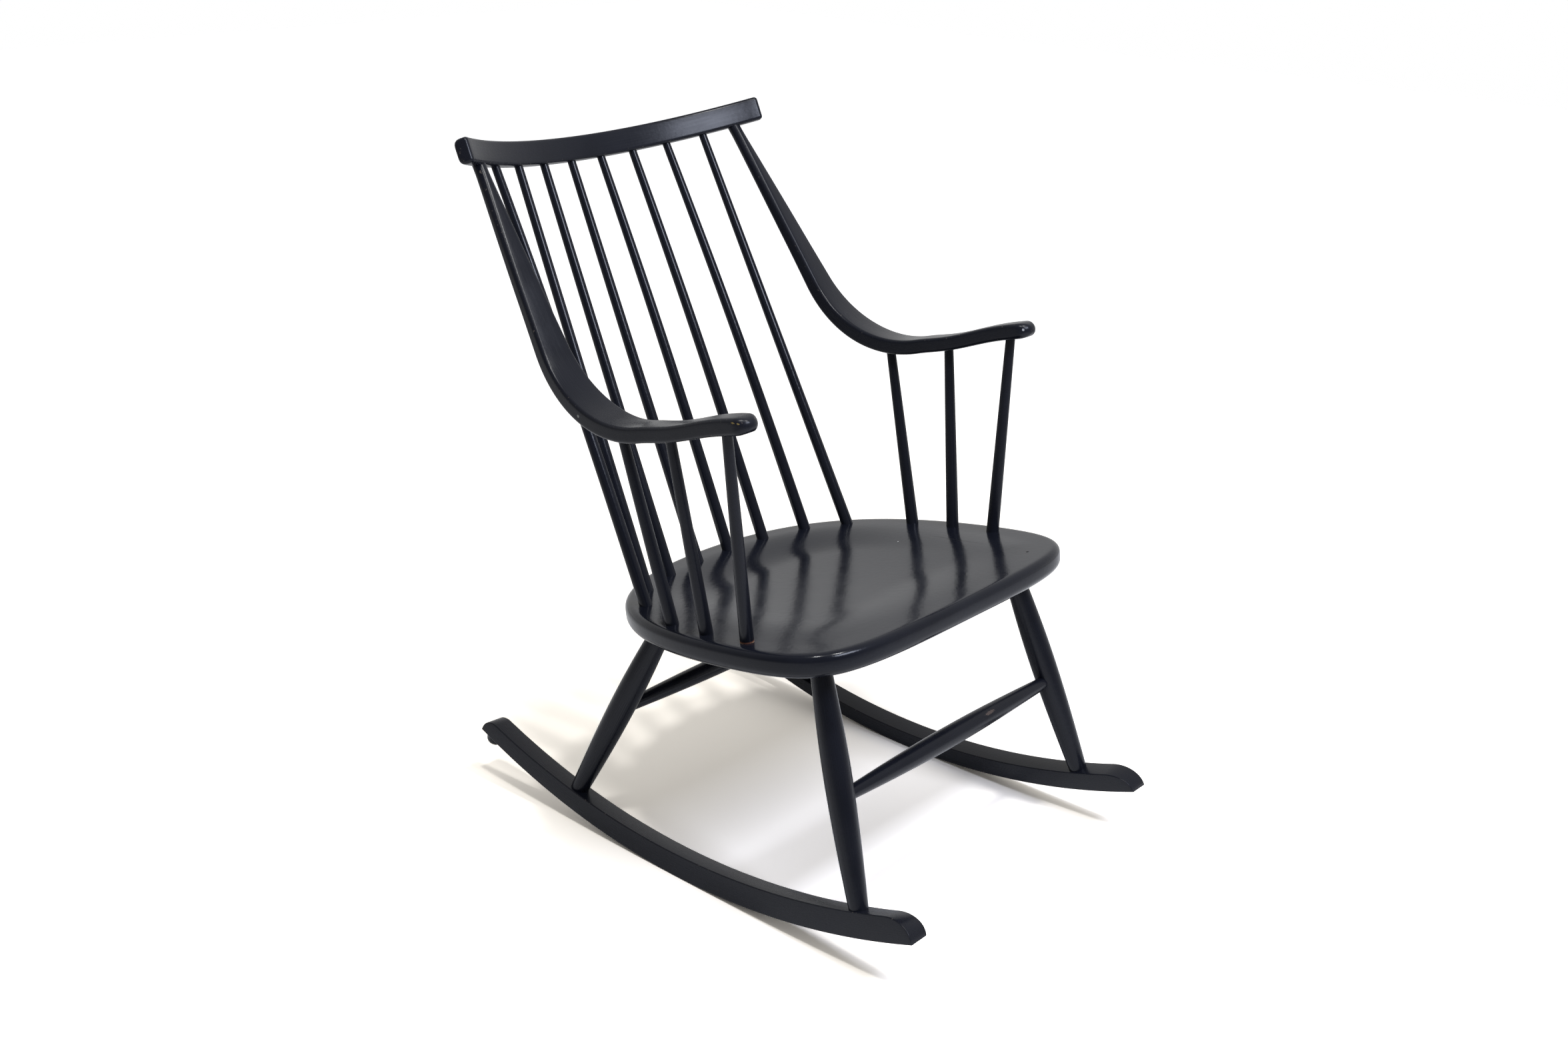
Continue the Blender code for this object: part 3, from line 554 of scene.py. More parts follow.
def black_paint(name, look, roughness, spots=(), bands=()):
    """Satin black paint, brushed by hand over wood.

    To the eye it is a deep, faintly blue black whose sheen comes and goes in clouds and along the brush
    marks, rubbed thin in flecks along the arrises. A spot, given by its middle, reach, turn and colour, and a
    band, given by its ends along the grain and its colour, show the wood or the ground below the paint, and
    the seat's two dark spots are painted shade in a dent and a crack.
    """
    material = bpy.data.materials.new(name)
    material.use_nodes = True
    tree = material.node_tree
    shader = tree.nodes["Principled BSDF"]
    place = node(tree, "ShaderNodeTexCoord").outputs["Object"]
    grain = node(tree, "ShaderNodeAttribute", attribute_name="grain").outputs["Vector"]
    rub = node(tree, "ShaderNodeAttribute", attribute_name="rub").outputs["Fac"]
    drawn = node(tree, "ShaderNodeMapping", {
        "Vector": grain, "Scale": (1 / look.streak_run, 1, 1)}).outputs["Vector"]
    noise = {}
    for word, vector, size, detail in (("streak", drawn, look.streak, 2.0), ("cloud", place, look.cloud, 4.0),
                                       ("peel", place, look.peel, 2.0), ("ragged", place, look.ragged, 3.0),
                                       ("fleck", place, look.fleck, 3.0)):
        noise[word] = node(tree, "ShaderNodeTexNoise", {
            "Vector": vector, "Scale": 1 / size, "Detail": detail}).outputs["Fac"]
    # only the peaks of the noise show as flecks, and only along the arrises
    faint, full = 0.66, 0.74
    fleck = node(tree, "ShaderNodeMapRange", {
        "Value": noise["fleck"], "From Min": faint, "From Max": full}).outputs["Result"]
    fleck = node(tree, "ShaderNodeMath", {0: fleck, 1: rub}, operation="MULTIPLY").outputs[0]
    # what shows in place of the paint: the wood or the ground, and on the seat the painted shade of a dent
    # and a crack
    bare = [(fleck, look.ground)]
    bare += [(spot(tree, place, noise["ragged"], middle, reach, turn), code)
             for middle, reach, turn, code in spots]
    along = node(tree, "ShaderNodeSeparateXYZ", {0: grain}).outputs["X"]
    bare += [(band(tree, along, noise["ragged"], low, high), code) for low, high, code in bands]
    colour = node(tree, "ShaderNodeMix", {
        "Factor": noise["cloud"], "A": linear(look.deep), "B": linear(look.thin)},
        data_type="RGBA").outputs["Result"]
    # the two noises together run from about the lower of these to the higher
    lower, higher = 0.6, 1.4
    sheen = node(tree, "ShaderNodeMath", {0: noise["streak"], 1: noise["cloud"]}, operation="ADD").outputs[0]
    sheen = node(tree, "ShaderNodeMapRange", {
        "Value": sheen, "From Min": lower, "From Max": higher,
        "To Min": roughness - look.sheen, "To Max": roughness + look.sheen}).outputs["Result"]
    for mask, code in bare:
        colour = node(tree, "ShaderNodeMix", {
            "Factor": mask, "A": colour, "B": linear(code)}, data_type="RGBA").outputs["Result"]
        sheen = node(tree, "ShaderNodeMix", {
            "Factor": mask, "A": sheen, "B": look.bare_roughness}).outputs["Result"]
    relief = node(tree, "ShaderNodeBump", {
        "Height": noise["streak"], "Strength": look.streak_relief,
        "Distance": look.streak_depth}).outputs["Normal"]
    relief = node(tree, "ShaderNodeBump", {
        "Height": noise["peel"], "Strength": look.peel_relief,
        "Distance": look.peel_depth, "Normal": relief}).outputs["Normal"]
    tree.links.new(colour, shader.inputs["Base Color"])
    tree.links.new(sheen, shader.inputs["Roughness"])
    tree.links.new(relief, shader.inputs["Normal"])
    shader.inputs["IOR"].default_value = look.ior
    return material


def plain_paint(chair):
    """The paint of the pieces that have no chips, made once."""
    name = "satin_black_paint"
    return bpy.data.materials.get(name) or black_paint(name, chair.paint, chair.paint.roughness)


def spindle_paint(chair):
    """The same paint, smoother where it ran down the back spindles, made once."""
    name = "satin_black_spindle_paint"
    return bpy.data.materials.get(name) or black_paint(name, chair.paint, chair.paint.spindle_roughness)


def seat_paint(chair):
    """The same paint, smoothest on the seat, with a white fleck, and painted shade in a dent and a crack
    close to the grain.
    """
    # a white fleck, then the dent and the crack painted darker than the paint as the shade that would lie in
    # them
    patches = (((0.1714, -0.0497, 0.3590), (0.0010, 0.0010, 0.0010), 0, "#d8d8d4"),
             ((0.1948, -0.2513, 0.3959), (0.0022, 0.0022, 0.0022), 0, "#0b0b0c"),
             ((0.2030, -0.1310, 0.3761), (0.0003, 0.0550, 0.0550), math.radians(-4.6), "#060607"))
    return black_paint("satin_black_seat_paint", chair.paint, chair.paint.seat_roughness, patches)


def arm_paint(chair, word):
    """The same paint, chipped: to grey on the left nose and in the right bend, to wood on the right nose."""
    patches = {
        "left": (((0.2719, -0.1655, 0.6753), (0.0016, 0.0016, 0.0016), 0, "#8c8e92"),),
        "right": (((-0.3032, -0.1572, 0.6716), (0.0010, 0.0028, 0.0009), 0, "#6e5f38"),
                  ((-0.3013, -0.1637, 0.6715), (0.0010, 0.0028, 0.0009), 0, "#6e5f38"),
                  ((-0.2962, 0.1090, 0.6144), (0.0018, 0.0018, 0.0018), 0, "#858784")),
    }
    name = f"satin_black_{word}_arm_paint"
    return black_paint(name, chair.paint, chair.paint.roughness, patches[word])


def loose_spindle_paint(chair, seat_level):
    """The same paint, with a ring of bare wood at the seat's level and a ring of brown ground above it."""
    below, wood_top, ground_top = seat_level - 0.001, seat_level + 0.0014, seat_level + 0.0032
    bands = ((below, wood_top, "#a88e72"), (wood_top, ground_top, "#5e3c2e"))
    return black_paint("satin_black_loose_spindle_paint", chair.paint, chair.paint.roughness, (), bands)


def stretcher_paint(chair):
    """The same paint, with a long chip to the ground on the front stretcher."""
    patches = (((0.0725, -0.2920, 0.2112), (0.0100, 0.0022, 0.0022), 0, "#4a403c"),)
    return black_paint("satin_black_stretcher_paint", chair.paint, chair.paint.roughness, patches)


# Pieces

def seat_outline(seat, steps):
    """Points round the seat's edge and the way inwards at each, along four smooth curves."""
    wide, at = seat.half_width, seat.widest
    corners = (
        ((0, seat.back), (-seat.back_fullness, seat.back), (seat.back_fullness, seat.back)),
        ((wide, at), (wide, at + seat.rear_fullness), (wide, at - seat.side_fullness)),
        ((0, seat.front), (seat.front_fullness, seat.front), (-seat.front_fullness, seat.front)),
        ((-wide, at), (-wide, at - seat.side_fullness), (-wide, at + seat.rear_fullness)),
    )
    outline = []
    for corner, following in zip(corners, corners[1:] + corners[:1]):
        a, b, c, d = (Vector(p) for p in (corner[0], corner[2], following[1], following[0]))
        for i in range(steps):
            t = i / steps
            u = 1 - t
            point = u ** 3 * a + 3 * u * u * t * b + 3 * u * t * t * c + t ** 3 * d
            run = u * u * (b - a) + 2 * u * t * (c - b) + t * t * (d - c)
            outline.append((point, Vector((run.y, -run.x)).normalized()))
    return outline


def seat_profile(seat):
    """Inset, share of the way out from the middle and height of each ring, from under the seat to its top."""
    deep, under, inset, top = seat.thickness, seat.under_rounding, seat.under_inset, seat.top_rounding
    # to this inset the rings follow the edge, and within it they shrink to a small one in the middle
    inner = 0.060
    edge_steps, rim_steps, dish_steps, last_share = 8, 12, 16, 0.02
    rings = [(inner, share, -deep) for share in (0.05, 0.4, 0.75, 1.0)]
    rings.append(((inner + inset) / 2, 1, -deep))
    rings += [(inset * (1 - math.sin(turn)), 1, -deep + under * (1 - math.cos(turn)))
              for turn in quarter(edge_steps)]
    rings += [(top * (1 - math.cos(turn)), 1, top * (math.sin(turn) - 1)) for turn in quarter(edge_steps)]
    rings += [(top + (inner - top) * i / rim_steps, 1, 0) for i in range(1, rim_steps + 1)]
    rings += [(inner, 1 - i / dish_steps, 0) for i in range(1, dish_steps)]
    rings.append((inner, last_share, 0))
    return rings


def seat_rings(chair):
    """The seat's rings, with the dish in its top."""
    seat = chair.seat
    rest = leaned(chair)
    middle = Vector((0, (seat.front + seat.back) / 2))
    outline = seat_outline(seat, steps=36)
    rings = []
    for inset, share, height in seat_profile(seat):
        ring = []
        for edge, inward in outline:
            point = edge + inward * inset
            flat = middle + (point - middle) * share
            level = height
            if height == 0:
                reach = inset + (point - flat).length
                dish = min(max((reach - seat.rim) / seat.dish_slope, 0), 1)
                floor = seat.dish_depth + math.tan(seat.dish_lean) * (flat.y - middle.y)
                floor -= flat.x ** 2 / (2 * seat.dish_radius)
                level -= floor * dish * dish * (3 - 2 * dish)
            ring.append((rest @ Vector((*flat, level)), Vector((flat.y, flat.x, level)), 0))
        rings.append(ring)
    return rings


class CHAIR_OT_make_seat(bpy.types.Operator):
    """Model the seat board, with its rounded edge and dished top"""
    bl_idname = "chair.make_seat"
    bl_label = "Make Seat"

    def execute(self, context):
        chair = context.scene.rocking_chair
        loft_piece("seat", seat_rings(chair), seat_paint(chair))
        return {"FINISHED"}


def crest_stations(back):
    """Places along the crest from end to end, and how far the section draws in at each, round its ends."""
    end_steps, arc_steps = 6, 60
    end = [(-back.half_span + back.rounding * (1 - math.cos(turn)), back.rounding * (1 - math.sin(turn)))
           for turn in quarter(end_steps)[:-1]]
    straight = back.half_span - back.rounding
    middle = [(straight * (2 * i / arc_steps - 1), 0) for i in range(arc_steps + 1)]
    return end + middle + [(-x, draw) for x, draw in reversed(end)]


def crest_rings(chair):
    """Rings along the crest's arc, with eased front edges and well rounded back edges."""
    back = chair.back
    rest = leaned(chair)
    # an edge's radius shrinks by this share of what the section draws in
    tighten = 0.7
    middle = back.underside - back.lap + back.height / 2
    rings = []
    for x, draw in crest_stations(back):
        half, tall = back.thickness / 2 - draw, back.height / 2 - draw
        corners = [Vector(c) for c in ((-half, -tall), (half, -tall), (half, tall), (-half, tall))]
        radii = [size - tighten * draw for size in (back.rounding, back.back_rounding)]
        along = back.radius * math.asin(x / back.radius) + CREST_GRAIN
        ring = []
        for out, up, rub in rounded(corners, radii + radii[::-1], steps=5):
            place = crest_point(back, x, out, middle + up)
            ring.append((rest @ place, Vector((along, out, up)), rub))
        rings.append(ring)
    return rings


class CHAIR_OT_make_crest(bpy.types.Operator):
    """Model the crest rail, a board bent to an arc"""
    bl_idname = "chair.make_crest"
    bl_label = "Make Crest Rail"

    def execute(self, context):
        chair = context.scene.rocking_chair
        loft_piece("crest_rail", crest_rings(chair), plain_paint(chair))
        return {"FINISHED"}


def spindle_stations(foot, head, head_tenon, foot_size, head_size, bow, rest):
    """Points and radii along a spindle that tapers to its head, a little full in the middle."""
    steps, fullness = 24, 0.85
    along = (head - foot).normalized()
    length = (head - foot).length
    stations = [(rest @ (foot - along * SEAT_TENON), foot_size / 2)]
    for i in range(steps + 1):
        share = i / steps
        size = head_size + (foot_size - head_size) * (1 - share) ** fullness
        point = foot + along * length * share + Vector((0, -bow * math.sin(math.pi * share), 0))
        stations.append((rest @ point, size / 2))
    stations.append((rest @ (head + along * head_tenon), head_size / 2))
    return stations


class CHAIR_OT_make_back_spindles(bpy.types.Operator):
    """Turn the back spindles, from the sitter's left to the right; a few have warped"""
    bl_idname = "chair.make_back_spindles"
    bl_label = "Make Back Spindles"

    def execute(self, context):
        chair = context.scene.rocking_chair
        back = chair.back
        # the angles of the left feet round their half ellipse, and the right ones mirrored
        left = [math.radians(a) for a in (80.4, 50.3, 27.1, 8.6)]
        angles = left + [-a for a in reversed(left)]
        middle = (len(angles) + 1) / 2
        warped = (2, 3, 4, 8)
        for i, angle in enumerate(angles, 1):
            foot = back_foot(chair, angle)
            head = crest_point(back, back.pitch * (middle - i), 0, back.underside)
            stations = spindle_stations(foot, head, CREST_TENON, back.foot, back.head,
                                        back.bow if i in warped else 0, leaned(chair))
            seed = BACK_SPINDLE_GRAIN + i
            turn_piece(f"back_spindle_{i}", stations, SPINDLE_POINTS, seed, spindle_paint(chair))
        return {"FINISHED"}


def arm_section(line, s):
    """Width, thickness, arris radius and outward twist of an arm at a distance along it."""
    arm = line.arm
    top, nose = arm.neck, line.length
    bend = line.straight + line.bend / 2
    upper, rest = (top + bend) / 2, (bend + nose) / 2
    width = smooth(s, ((top, arm.top), (upper, arm.taper_width), (bend, arm.bend_width),
                       (rest, arm.rest_width), (nose, arm.nose_width)))
    thickness = smooth(s, ((top, arm.top), (upper, arm.taper_thickness), (bend, arm.bend_thickness),
                           (rest, arm.rest_thickness), (nose, arm.nose_thickness)))
    # nearly half the diameter makes the neck round, and the arrises grow again at the nose
    round_share, upper_share, nose_share = 0.49, 1.2, 1.8
    arris = smooth(s, ((top, round_share * arm.top), (upper, upper_share * arm.arris),
                       (nose - 2 * arm.nose_rounding, arm.arris), (nose, nose_share * arm.arris)))
    # a little of the twist is left in the rest
    twist_left = 0.15
    twist = smooth(s, ((line.straight, arm.twist), (line.straight + line.bend, twist_left * arm.twist)))
    return width, thickness, arris, twist


def arm_outline(width, thickness, arris):
    """Points round an arm's section, across, up and with their rub; its faces are a little crowned."""
    crown, steps = 0.05, 8
    thickness = thickness / (1 + crown)
    flat, tall = width / 2 - arris, thickness / 2 - arris
    points = []
    for k, (x, y) in enumerate(((1, 1), (-1, 1), (-1, -1), (1, -1))):
        for j in range(steps + 1):
            turn = math.pi / 2 * (k + j / steps)
            across, up = x * flat + arris * math.cos(turn), y * tall + arris * math.sin(turn)
            points.append((across, up, 1 - abs(2 * j / steps - 1)))
        for share in (0.5, 0, -0.5):
            if k % 2:
                points.append((x * width / 2, share * y * tall, 0))
            else:
                points.append((share * x * flat, y * thickness / 2, 0))
    return [(x, y * (1 + crown * (1 - (2 * x / width) ** 2)), rub) for x, y, rub in points]


def arm_ring(line, s, rest, wide_share=1, deep_share=1):
    """The points round an arm at a distance along it, drawn in to shares of its width and thickness."""
    width, thickness, arris, twist = arm_section(line, s)
    width, thickness = width * wide_share, thickness * deep_share
    # an arris takes less than half of the section, so that a flat is always left
    most = 0.47
    arris = min(arris, most * min(width, thickness))
    across, upward = line.axes(s)
    middle = line.point(s)
    ring = []
    for wide, tall, rub in arm_outline(width, thickness, arris):
        outward = wide * math.cos(twist) + tall * math.sin(twist)
        rise = tall * math.cos(twist) - wide * math.sin(twist)
        place = rest @ (middle + across * outward + upward * rise)
        ring.append((place, Vector((s + ARM_GRAIN + 2 * line.side, wide, tall)), rub))
    return ring


def arm_rings(chair, side):
    """An arm's rings from its tenon in the crest to its rounded nose."""
    line = ArmLine(chair, side)
    rest = leaned(chair)
    nose = chair.arm.nose_rounding
    body = line.length - nose
    tenon, start, steps, nose_steps = 0.008, 0.006, 110, 12
    rings = [arm_ring(line, s, rest) for s in (-tenon, 0, start)]
    rings += [arm_ring(line, start + (body - start) * i / steps, rest) for i in range(1, steps + 1)]
    # powers below 1 make the nose blunter than an ellipse, and it stops short of its point in a small flat
    wide_power, deep_power, short = 0.85, 0.8, 0.4
    for i in range(1, nose_steps + 1):
        turn = math.pi / 2 * i / (nose_steps + short)
        share = math.cos(turn)
        s = body + nose * math.sin(turn)
        rings.append(arm_ring(line, s, rest, share ** wide_power, share ** deep_power))
    return rings


class CHAIR_OT_make_arms(bpy.types.Operator):
    """Model the bent arms, round at the crest and flat at the rest"""
    bl_idname = "chair.make_arms"
    bl_label = "Make Arms"

    def execute(self, context):
        chair = context.scene.rocking_chair
        for word, side in SIDES:
            loft_piece(f"{word}_arm", arm_rings(chair, side), arm_paint(chair, word))
        return {"FINISHED"}


class CHAIR_OT_make_arm_spindles(bpy.types.Operator):
    """Turn the spindles that carry the arms; one shows bare wood at its foot"""
    bl_idname = "chair.make_arm_spindles"
    bl_label = "Make Arm Spindles"

    def execute(self, context):
        chair = context.scene.rocking_chair
        seat, arm = chair.seat, chair.arm
        # name, foot in from the seat's side, foot along the seat, head back from the nose, head outwards
        places = (("front", 0.0288, -0.2297, 0.0390, 0.0055), ("middle", 0.0296, -0.1599, 0.1439, 0.0036),
                  ("rear", 0.0369, -0.0925, 0.2420, -0.0017))
        for word, side in SIDES:
            line = ArmLine(chair, side)
            for i, (name, inset, y, set_back, out) in enumerate(places):
                foot = Vector((side * (seat.half_width - inset), y, 0))
                head = line.point(line.length - set_back) + Vector((side * out, 0, 0))
                stations = spindle_stations(foot, head, 0, arm.foot, arm.head, 0, leaned(chair))
                seed = ARM_SPINDLE_GRAIN + 4 * side + i
                if word == "right" and name == "front":
                    paint = loose_spindle_paint(chair, seed + SEAT_TENON)
                else:
                    paint = plain_paint(chair)
                turn_piece(f"{word}_arm_spindle_{name}", stations, SPINDLE_POINTS, seed, paint)
        return {"FINISHED"}


def leg_stations(leg, foot, head, rest):
    """Points and radii down a leg, from its tenon in the seat to its tenon in the rocker."""
    steps, tenon_share = 40, 0.96
    down = (foot - head).normalized()
    length = (foot - head).length
    stations = [(rest @ (head - down * LEG_TENON), leg.top / 2)]
    for i in range(steps + 1):
        share = i / steps
        if share < leg.belly_at:
            end, swell = leg.top, math.sin(math.pi / 2 * share / leg.belly_at)
        else:
            below = (share - leg.belly_at) / (1 - leg.belly_at)
            end, swell = leg.foot, math.cos(math.pi / 2 * below)
        stations.append((rest @ (head + down * length * share), (end + (leg.belly - end) * swell) / 2))
    stations.append((rest @ (foot + down * LEG_TENON), tenon_share * leg.foot / 2))
    return stations


class CHAIR_OT_make_legs(bpy.types.Operator):
    """Turn the four splayed legs"""
    bl_idname = "chair.make_legs"
    bl_label = "Make Legs"

    def execute(self, context):
        chair = context.scene.rocking_chair
        for word, side in SIDES:
            for i, end in enumerate(("front", "rear")):
                foot, head = leg_ends(chair, end, side)
                stations = leg_stations(chair.leg, foot, head, leaned(chair))
                seed = LEG_GRAIN + 2 * side + i
                turn_piece(f"{word}_{end}_leg", stations, LEG_POINTS, seed, plain_paint(chair))
        return {"FINISHED"}


def stretcher_stations(chair, end, drop, belly):
    """Points and radii along a stretcher, which swells to its belly, from the left leg to the right one."""
    leg = chair.leg
    rest = leaned(chair)
    steps = 30
    foot, head = leg_ends(chair, end, 1)
    joint = head + (foot - head) * drop / (head.z - foot.z)
    half = joint.x - leg.stretcher_short
    stations = []
    for i in range(steps + 1):
        share = i / steps
        size = leg.stretcher_end + (belly - leg.stretcher_end) * math.sin(math.pi * share)
        stations.append((rest @ Vector((half * (1 - 2 * share), joint.y, joint.z)), size / 2))
    return stations


class CHAIR_OT_make_stretchers(bpy.types.Operator):
    """Turn the two swelled stretchers; the front one is chipped"""
    bl_idname = "chair.make_stretchers"
    bl_label = "Make Stretchers"

    def execute(self, context):
        chair = context.scene.rocking_chair
        leg = chair.leg
        for end, drop, belly, paint in (("front", leg.front_drop, leg.front_belly, stretcher_paint(chair)),
                                        ("rear", leg.rear_drop, leg.rear_belly, plain_paint(chair))):
            stations = stretcher_stations(chair, end, drop, belly)
            seed = STRETCHER_GRAIN + drop * 10
            turn_piece(f"{end}_stretcher", stations, STRETCHER_POINTS, seed, paint)
        return {"FINISHED"}


def rocker_height(chair, turn):
    """A rocker's height along the sole's radius, at a turn from where it meets the floor."""
    rocker = chair.rocker
    slant = turn + chair.pose.tilt
    rise, shift = rocker_rise(rocker), rocker.top_shift
    along = shift * math.sin(slant) - rise * math.cos(slant)
    reach = along + math.sqrt(rocker.top_radius ** 2 + along ** 2 - rise ** 2 - shift ** 2)
    return rocker.sole_radius - reach


def rocker_nose(chair, tip, length, left, way):
    """Turns and heights round one end of a rocker, from its full height to what is left at its tip."""
    steps = 16
    nose = []
    for step in quarter(steps):
        turn = way * (tip - length / chair.rocker.sole_radius * (1 - math.sin(step)))
        full = rocker_height(chair, turn)
        nose.append((turn, full - (full - left) * (1 - math.cos(step))))
    return nose


def rocker_stations(chair):
    """Turns about the sole's centre and the rocker's height at each, from the front tip to the rear tip."""
    rocker = chair.rocker
    steps = 70
    front = rocker_nose(chair, rocker.front, rocker.front_nose, rocker.front_tip, -1)
    rear = rocker_nose(chair, rocker.rear, rocker.rear_nose, rocker.rear_tip, 1)
    start, end = front[0][0], rear[0][0]
    middle = [start + (end - start) * i / steps for i in range(1, steps)]
    return front[::-1] + [(turn, rocker_height(chair, turn)) for turn in middle] + rear


def rocker_rings(chair, side):
    """A rocker's rings: a level sole, and a top that leans in with its outer edge up, all arrises eased."""
    rocker = chair.rocker
    centre = sole_centre(chair, side)
    lean = math.tan(rocker.cant)
    rings = []
    for turn, height in rocker_stations(chair):
        corners = []
        for across, up in ((-0.5, 0), (0.5, 0), (0.5, height), (-0.5, height)):
            rise = up * (1 + across * rocker.width * lean / rocker.height)
            corners.append(Vector((across * rocker.width - lean * up, rise)))
        along = turn * rocker.sole_radius + ROCKER_GRAIN + 2 * side
        ring = []
        for outward, rise, rub in rounded(corners, [rocker.arris] * 4, steps=4):
            reach = rocker.sole_radius - rise
            place = centre + Vector((side * outward, reach * math.sin(turn), -reach * math.cos(turn)))
            ring.append((place, Vector((along, outward, rise)), rub))
        rings.append(ring)
    return rings


class CHAIR_OT_make_rockers(bpy.types.Operator):
    """Model the sawn, canted rockers"""
    bl_idname = "chair.make_rockers"
    bl_label = "Make Rockers"

    def execute(self, context):
        chair = context.scene.rocking_chair
        for word, side in SIDES:
            loft_piece(f"{word}_rocker", rocker_rings(chair, side), plain_paint(chair))
        return {"FINISHED"}


def stop_stations(chair, side):
    """Points and radii down a stop: its peg, a straight part and a dome that ends in a small flat."""
    rocker = chair.rocker
    steps, straight, short = 10, 0.4, 0.5
    turn = rocker.rear - rocker.stop_from_end / rocker.sole_radius
    outward = Vector((0, math.sin(turn), -math.cos(turn)))
    base = sole_centre(chair, side) + outward * rocker.sole_radius
    size, tall = rocker.stop_diameter / 2, rocker.stop_height
    stations = [(base - outward * STOP_PEG, size)]
    for i in range(steps):
        step = math.pi / 2 * i / (steps - short)
        reach = tall * (straight + (1 - straight) * math.sin(step))
        stations.append((base + outward * reach, size * math.cos(step)))
    return stations


class CHAIR_OT_make_rocker_stops(bpy.types.Operator):
    """Turn the buttons under the rockers' rear ends"""
    bl_idname = "chair.make_rocker_stops"
    bl_label = "Make Rocker Stops"

    def execute(self, context):
        chair = context.scene.rocking_chair
        for word, side in SIDES:
            stations = stop_stations(chair, side)
            seed = STOP_GRAIN + side
            turn_piece(f"{word}_rocker_stop", stations, STOP_POINTS, seed, plain_paint(chair))
        return {"FINISHED"}


# Stage

def floor_paint():
    """Matt white studio floor.

    To the eye it is white where it is seen or mirrored in full light, and it keeps the chair's shadow.
    """
    material = bpy.data.materials.new("matt_white_floor")
    material.use_nodes = True
    tree = material.node_tree
    shader = tree.nodes["Principled BSDF"]
    # for the camera the lit floor is lifted to white: by the chair with a warm cast, and further off in full
    # the warm cast shows only where the chair's shadow falls: a painted warm tint of bounce light in that
    # shadow
    by_chair = [1.62 * value for value in linear("#fff9ef")]
    far_off = [2.1 * value for value in linear("#ffffff")]
    near_ends, far_starts = 1.2, 3.5
    place = node(tree, "ShaderNodeTexCoord").outputs["Object"]
    far = node(tree, "ShaderNodeVectorMath", {0: place}, operation="LENGTH").outputs["Value"]
    far = node(tree, "ShaderNodeMapRange", {
        "Value": far, "From Min": near_ends, "From Max": far_starts}).outputs["Result"]
    white = node(tree, "ShaderNodeMix", {
        "Factor": far, "A": by_chair, "B": far_off}, data_type="RGBA").outputs["Result"]
    ray = node(tree, "ShaderNodeLightPath").outputs
    mirrored = node(tree, "ShaderNodeMath", {
        0: ray["Is Glossy Ray"], 1: ray["Is Transmission Ray"]}, operation="MAXIMUM").outputs[0]
    colour = node(tree, "ShaderNodeMix", {
        "Factor": mirrored, "A": linear("#e6e6e6"), "B": linear("#ffffff")},
        data_type="RGBA").outputs["Result"]
    colour = node(tree, "ShaderNodeMix", {
        "Factor": ray["Is Camera Ray"], "A": colour, "B": white}, data_type="RGBA").outputs["Result"]
    tree.links.new(colour, shader.inputs["Base Color"])
    shader.inputs["Roughness"].default_value = 1.0
    shader.inputs["Specular IOR Level"].default_value = 0.0
    return material


def light_room(look):
    """A white room: a full white sweep below the horizon, greyer walls, and a dim end behind the camera."""
    world = bpy.data.worlds.new("white_room")
    bpy.context.scene.world = world
    world.use_nodes = True
    tree = world.node_tree
    # how far either side of the middle the brightness still changes, along the room and at the horizon
    room_blend, horizon_blend = 0.5, 0.04
    way = node(tree, "ShaderNodeTexCoord").outputs["Generated"]
    ahead = node(tree, "ShaderNodeVectorMath", {
        0: way, 1: look.bright_end}, operation="DOT_PRODUCT").outputs["Value"]
    end = node(tree, "ShaderNodeMapRange", {
        "Value": ahead, "From Min": -room_blend, "From Max": room_blend,
        "To Min": look.dim_end, "To Max": 1.0}).outputs["Result"]
    rise = node(tree, "ShaderNodeSeparateXYZ", {0: way}).outputs["Z"]
    wall = node(tree, "ShaderNodeMapRange", {
        "Value": rise, "From Min": -horizon_blend, "From Max": horizon_blend,
        "To Min": 1.0, "To Max": look.wall}).outputs["Result"]
    level = node(tree, "ShaderNodeMath", {0: wall, 1: end}, operation="MULTIPLY").outputs[0]
    back = tree.nodes["Background"]
    back.inputs["Color"].default_value = linear("#ffffff")
    tree.links.new(level, back.inputs["Strength"])


def add_lamp(name, place, target, size, power, code):
    """A soft lamp of a width, a height and a colour that faces a target."""
    bpy.ops.object.light_add(type="AREA", location=place)
    lamp = bpy.context.active_object
    lamp.name = name
    lamp.rotation_euler = (Vector(target) - Vector(place)).to_track_quat("-Z", "Y").to_euler()
    lamp.data.shape = "RECTANGLE"
    lamp.data.size, lamp.data.size_y = size
    lamp.data.energy = power
    lamp.data.color = linear(code)[:3]


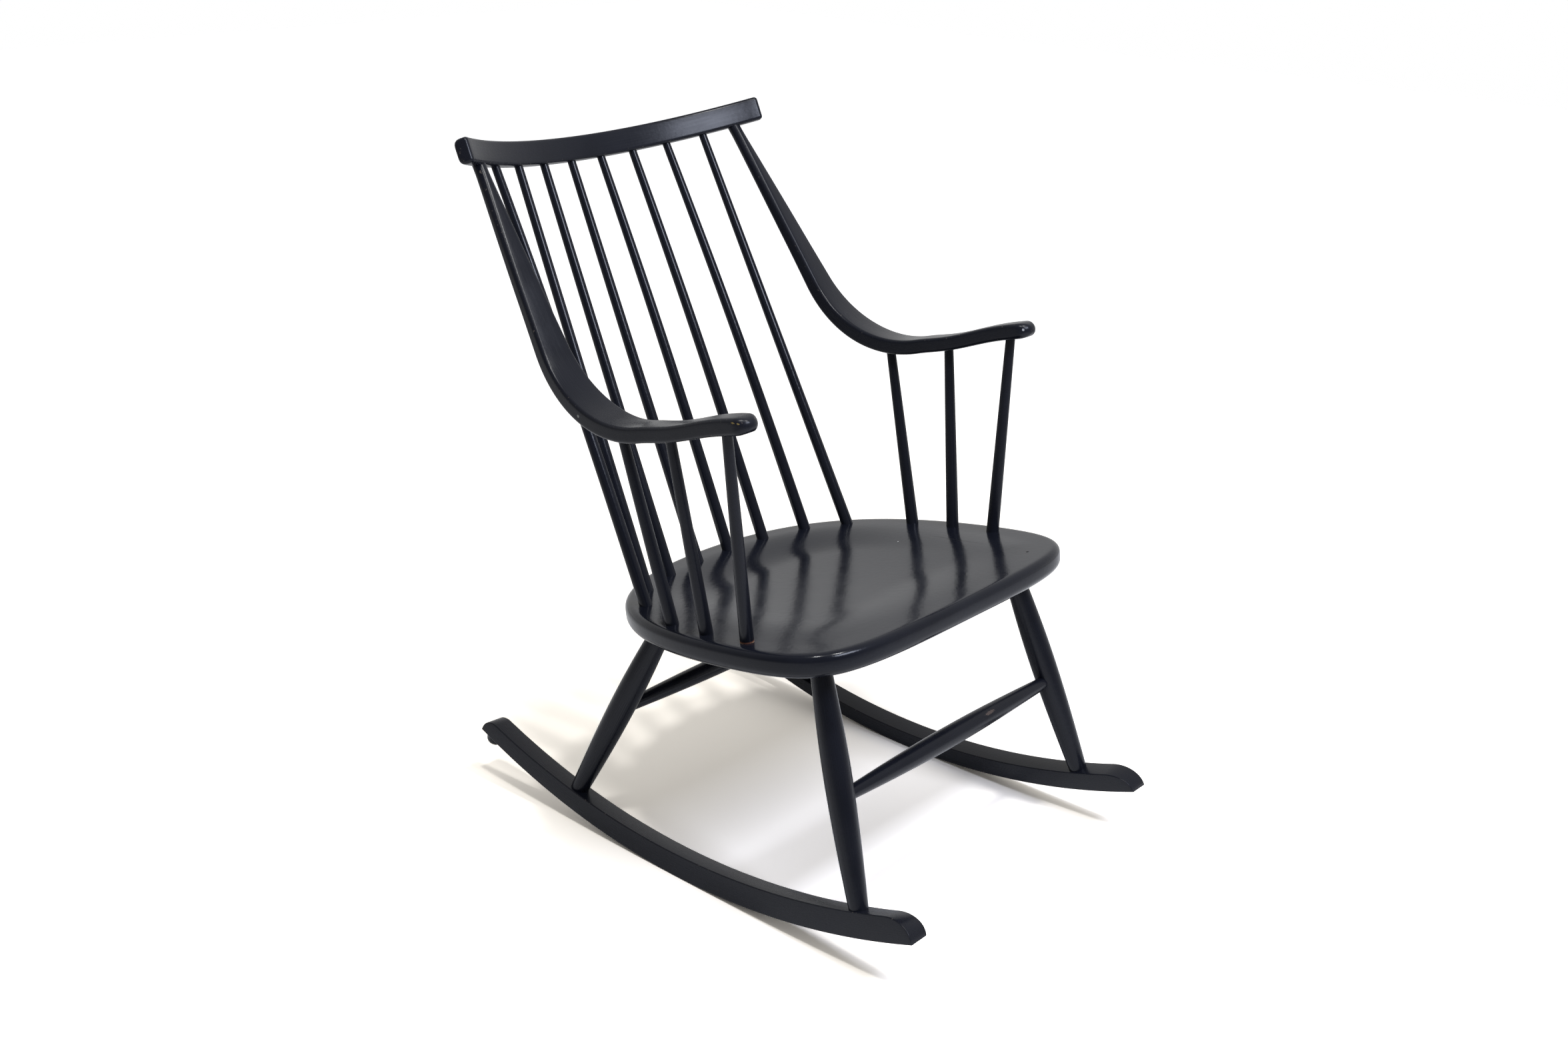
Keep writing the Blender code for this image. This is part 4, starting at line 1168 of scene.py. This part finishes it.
class CHAIR_OT_set_stage(bpy.types.Operator):
    """Set up the floor, the lamps and the camera"""
    bl_idname = "chair.set_stage"
    bl_label = "Set Stage"

    def execute(self, context):
        look = context.scene.rocking_chair.stage
        context.scene.view_settings.view_transform = "Standard"
        bpy.ops.mesh.primitive_plane_add(size=16)
        floor = context.active_object
        floor.name = "floor"
        floor.data.materials.append(floor_paint())
        light_room(look)
        for word, place in (("left", (0.1, -0.9, 2.7)), ("right", (-0.7, -0.4, 2.7))):
            add_lamp(f"overhead_lamp_{word}", place, target=(0, 0, 0.4), size=(0.22, 0.22),
                     power=look.overhead, code="#ffffff")
        add_lamp("front_lamp", place=(0.02, -1.93, 2.36), target=(0, 0.1, 0.7), size=(1.1, 0.8),
                 power=look.front, code="#e4ebff")
        bpy.ops.object.camera_add(location=look.camera_place, rotation=look.camera_turn)
        camera = context.active_object
        camera.name = "photo_camera"
        camera.data.sensor_width = look.sensor
        camera.data.lens = look.lens
        context.scene.camera = camera
        return {"FINISHED"}


class CHAIR_PT_panel(bpy.types.Panel):
    """Lists the steps that make the chair."""
    bl_idname = "CHAIR_PT_panel"
    bl_label = "Rocking Chair"
    bl_space_type = "VIEW_3D"
    bl_region_type = "UI"
    bl_category = "Chair"

    def draw(self, context):
        for step in STEPS:
            self.layout.operator(step.bl_idname)


STEPS = (CHAIR_OT_make_seat, CHAIR_OT_make_crest, CHAIR_OT_make_back_spindles, CHAIR_OT_make_arms,
         CHAIR_OT_make_arm_spindles, CHAIR_OT_make_legs, CHAIR_OT_make_stretchers, CHAIR_OT_make_rockers,
         CHAIR_OT_make_rocker_stops, CHAIR_OT_set_stage)
GROUPS = (PoseSizes, SeatSizes, BackSizes, ArmSizes, LegSizes, RockerSizes, PaintLook, StageLook,
          ChairSettings)


def register():
    """Registers the settings, the steps and the panel."""
    for group in GROUPS + STEPS + (CHAIR_PT_panel,):
        bpy.utils.register_class(group)
    bpy.types.Scene.rocking_chair = PointerProperty(type=ChairSettings)


def unregister():
    """Takes the panel, the steps and the settings away again."""
    del bpy.types.Scene.rocking_chair
    for group in reversed(GROUPS + STEPS + (CHAIR_PT_panel,)):
        bpy.utils.unregister_class(group)


def main():
    """Makes the chair and its stage."""
    register()
    bpy.ops.chair.make_seat()
    bpy.ops.chair.make_crest()
    bpy.ops.chair.make_back_spindles()
    bpy.ops.chair.make_arms()
    bpy.ops.chair.make_arm_spindles()
    bpy.ops.chair.make_legs()
    bpy.ops.chair.make_stretchers()
    bpy.ops.chair.make_rockers()
    bpy.ops.chair.make_rocker_stops()
    bpy.ops.chair.set_stage()


if __name__ == "__main__":
    main()
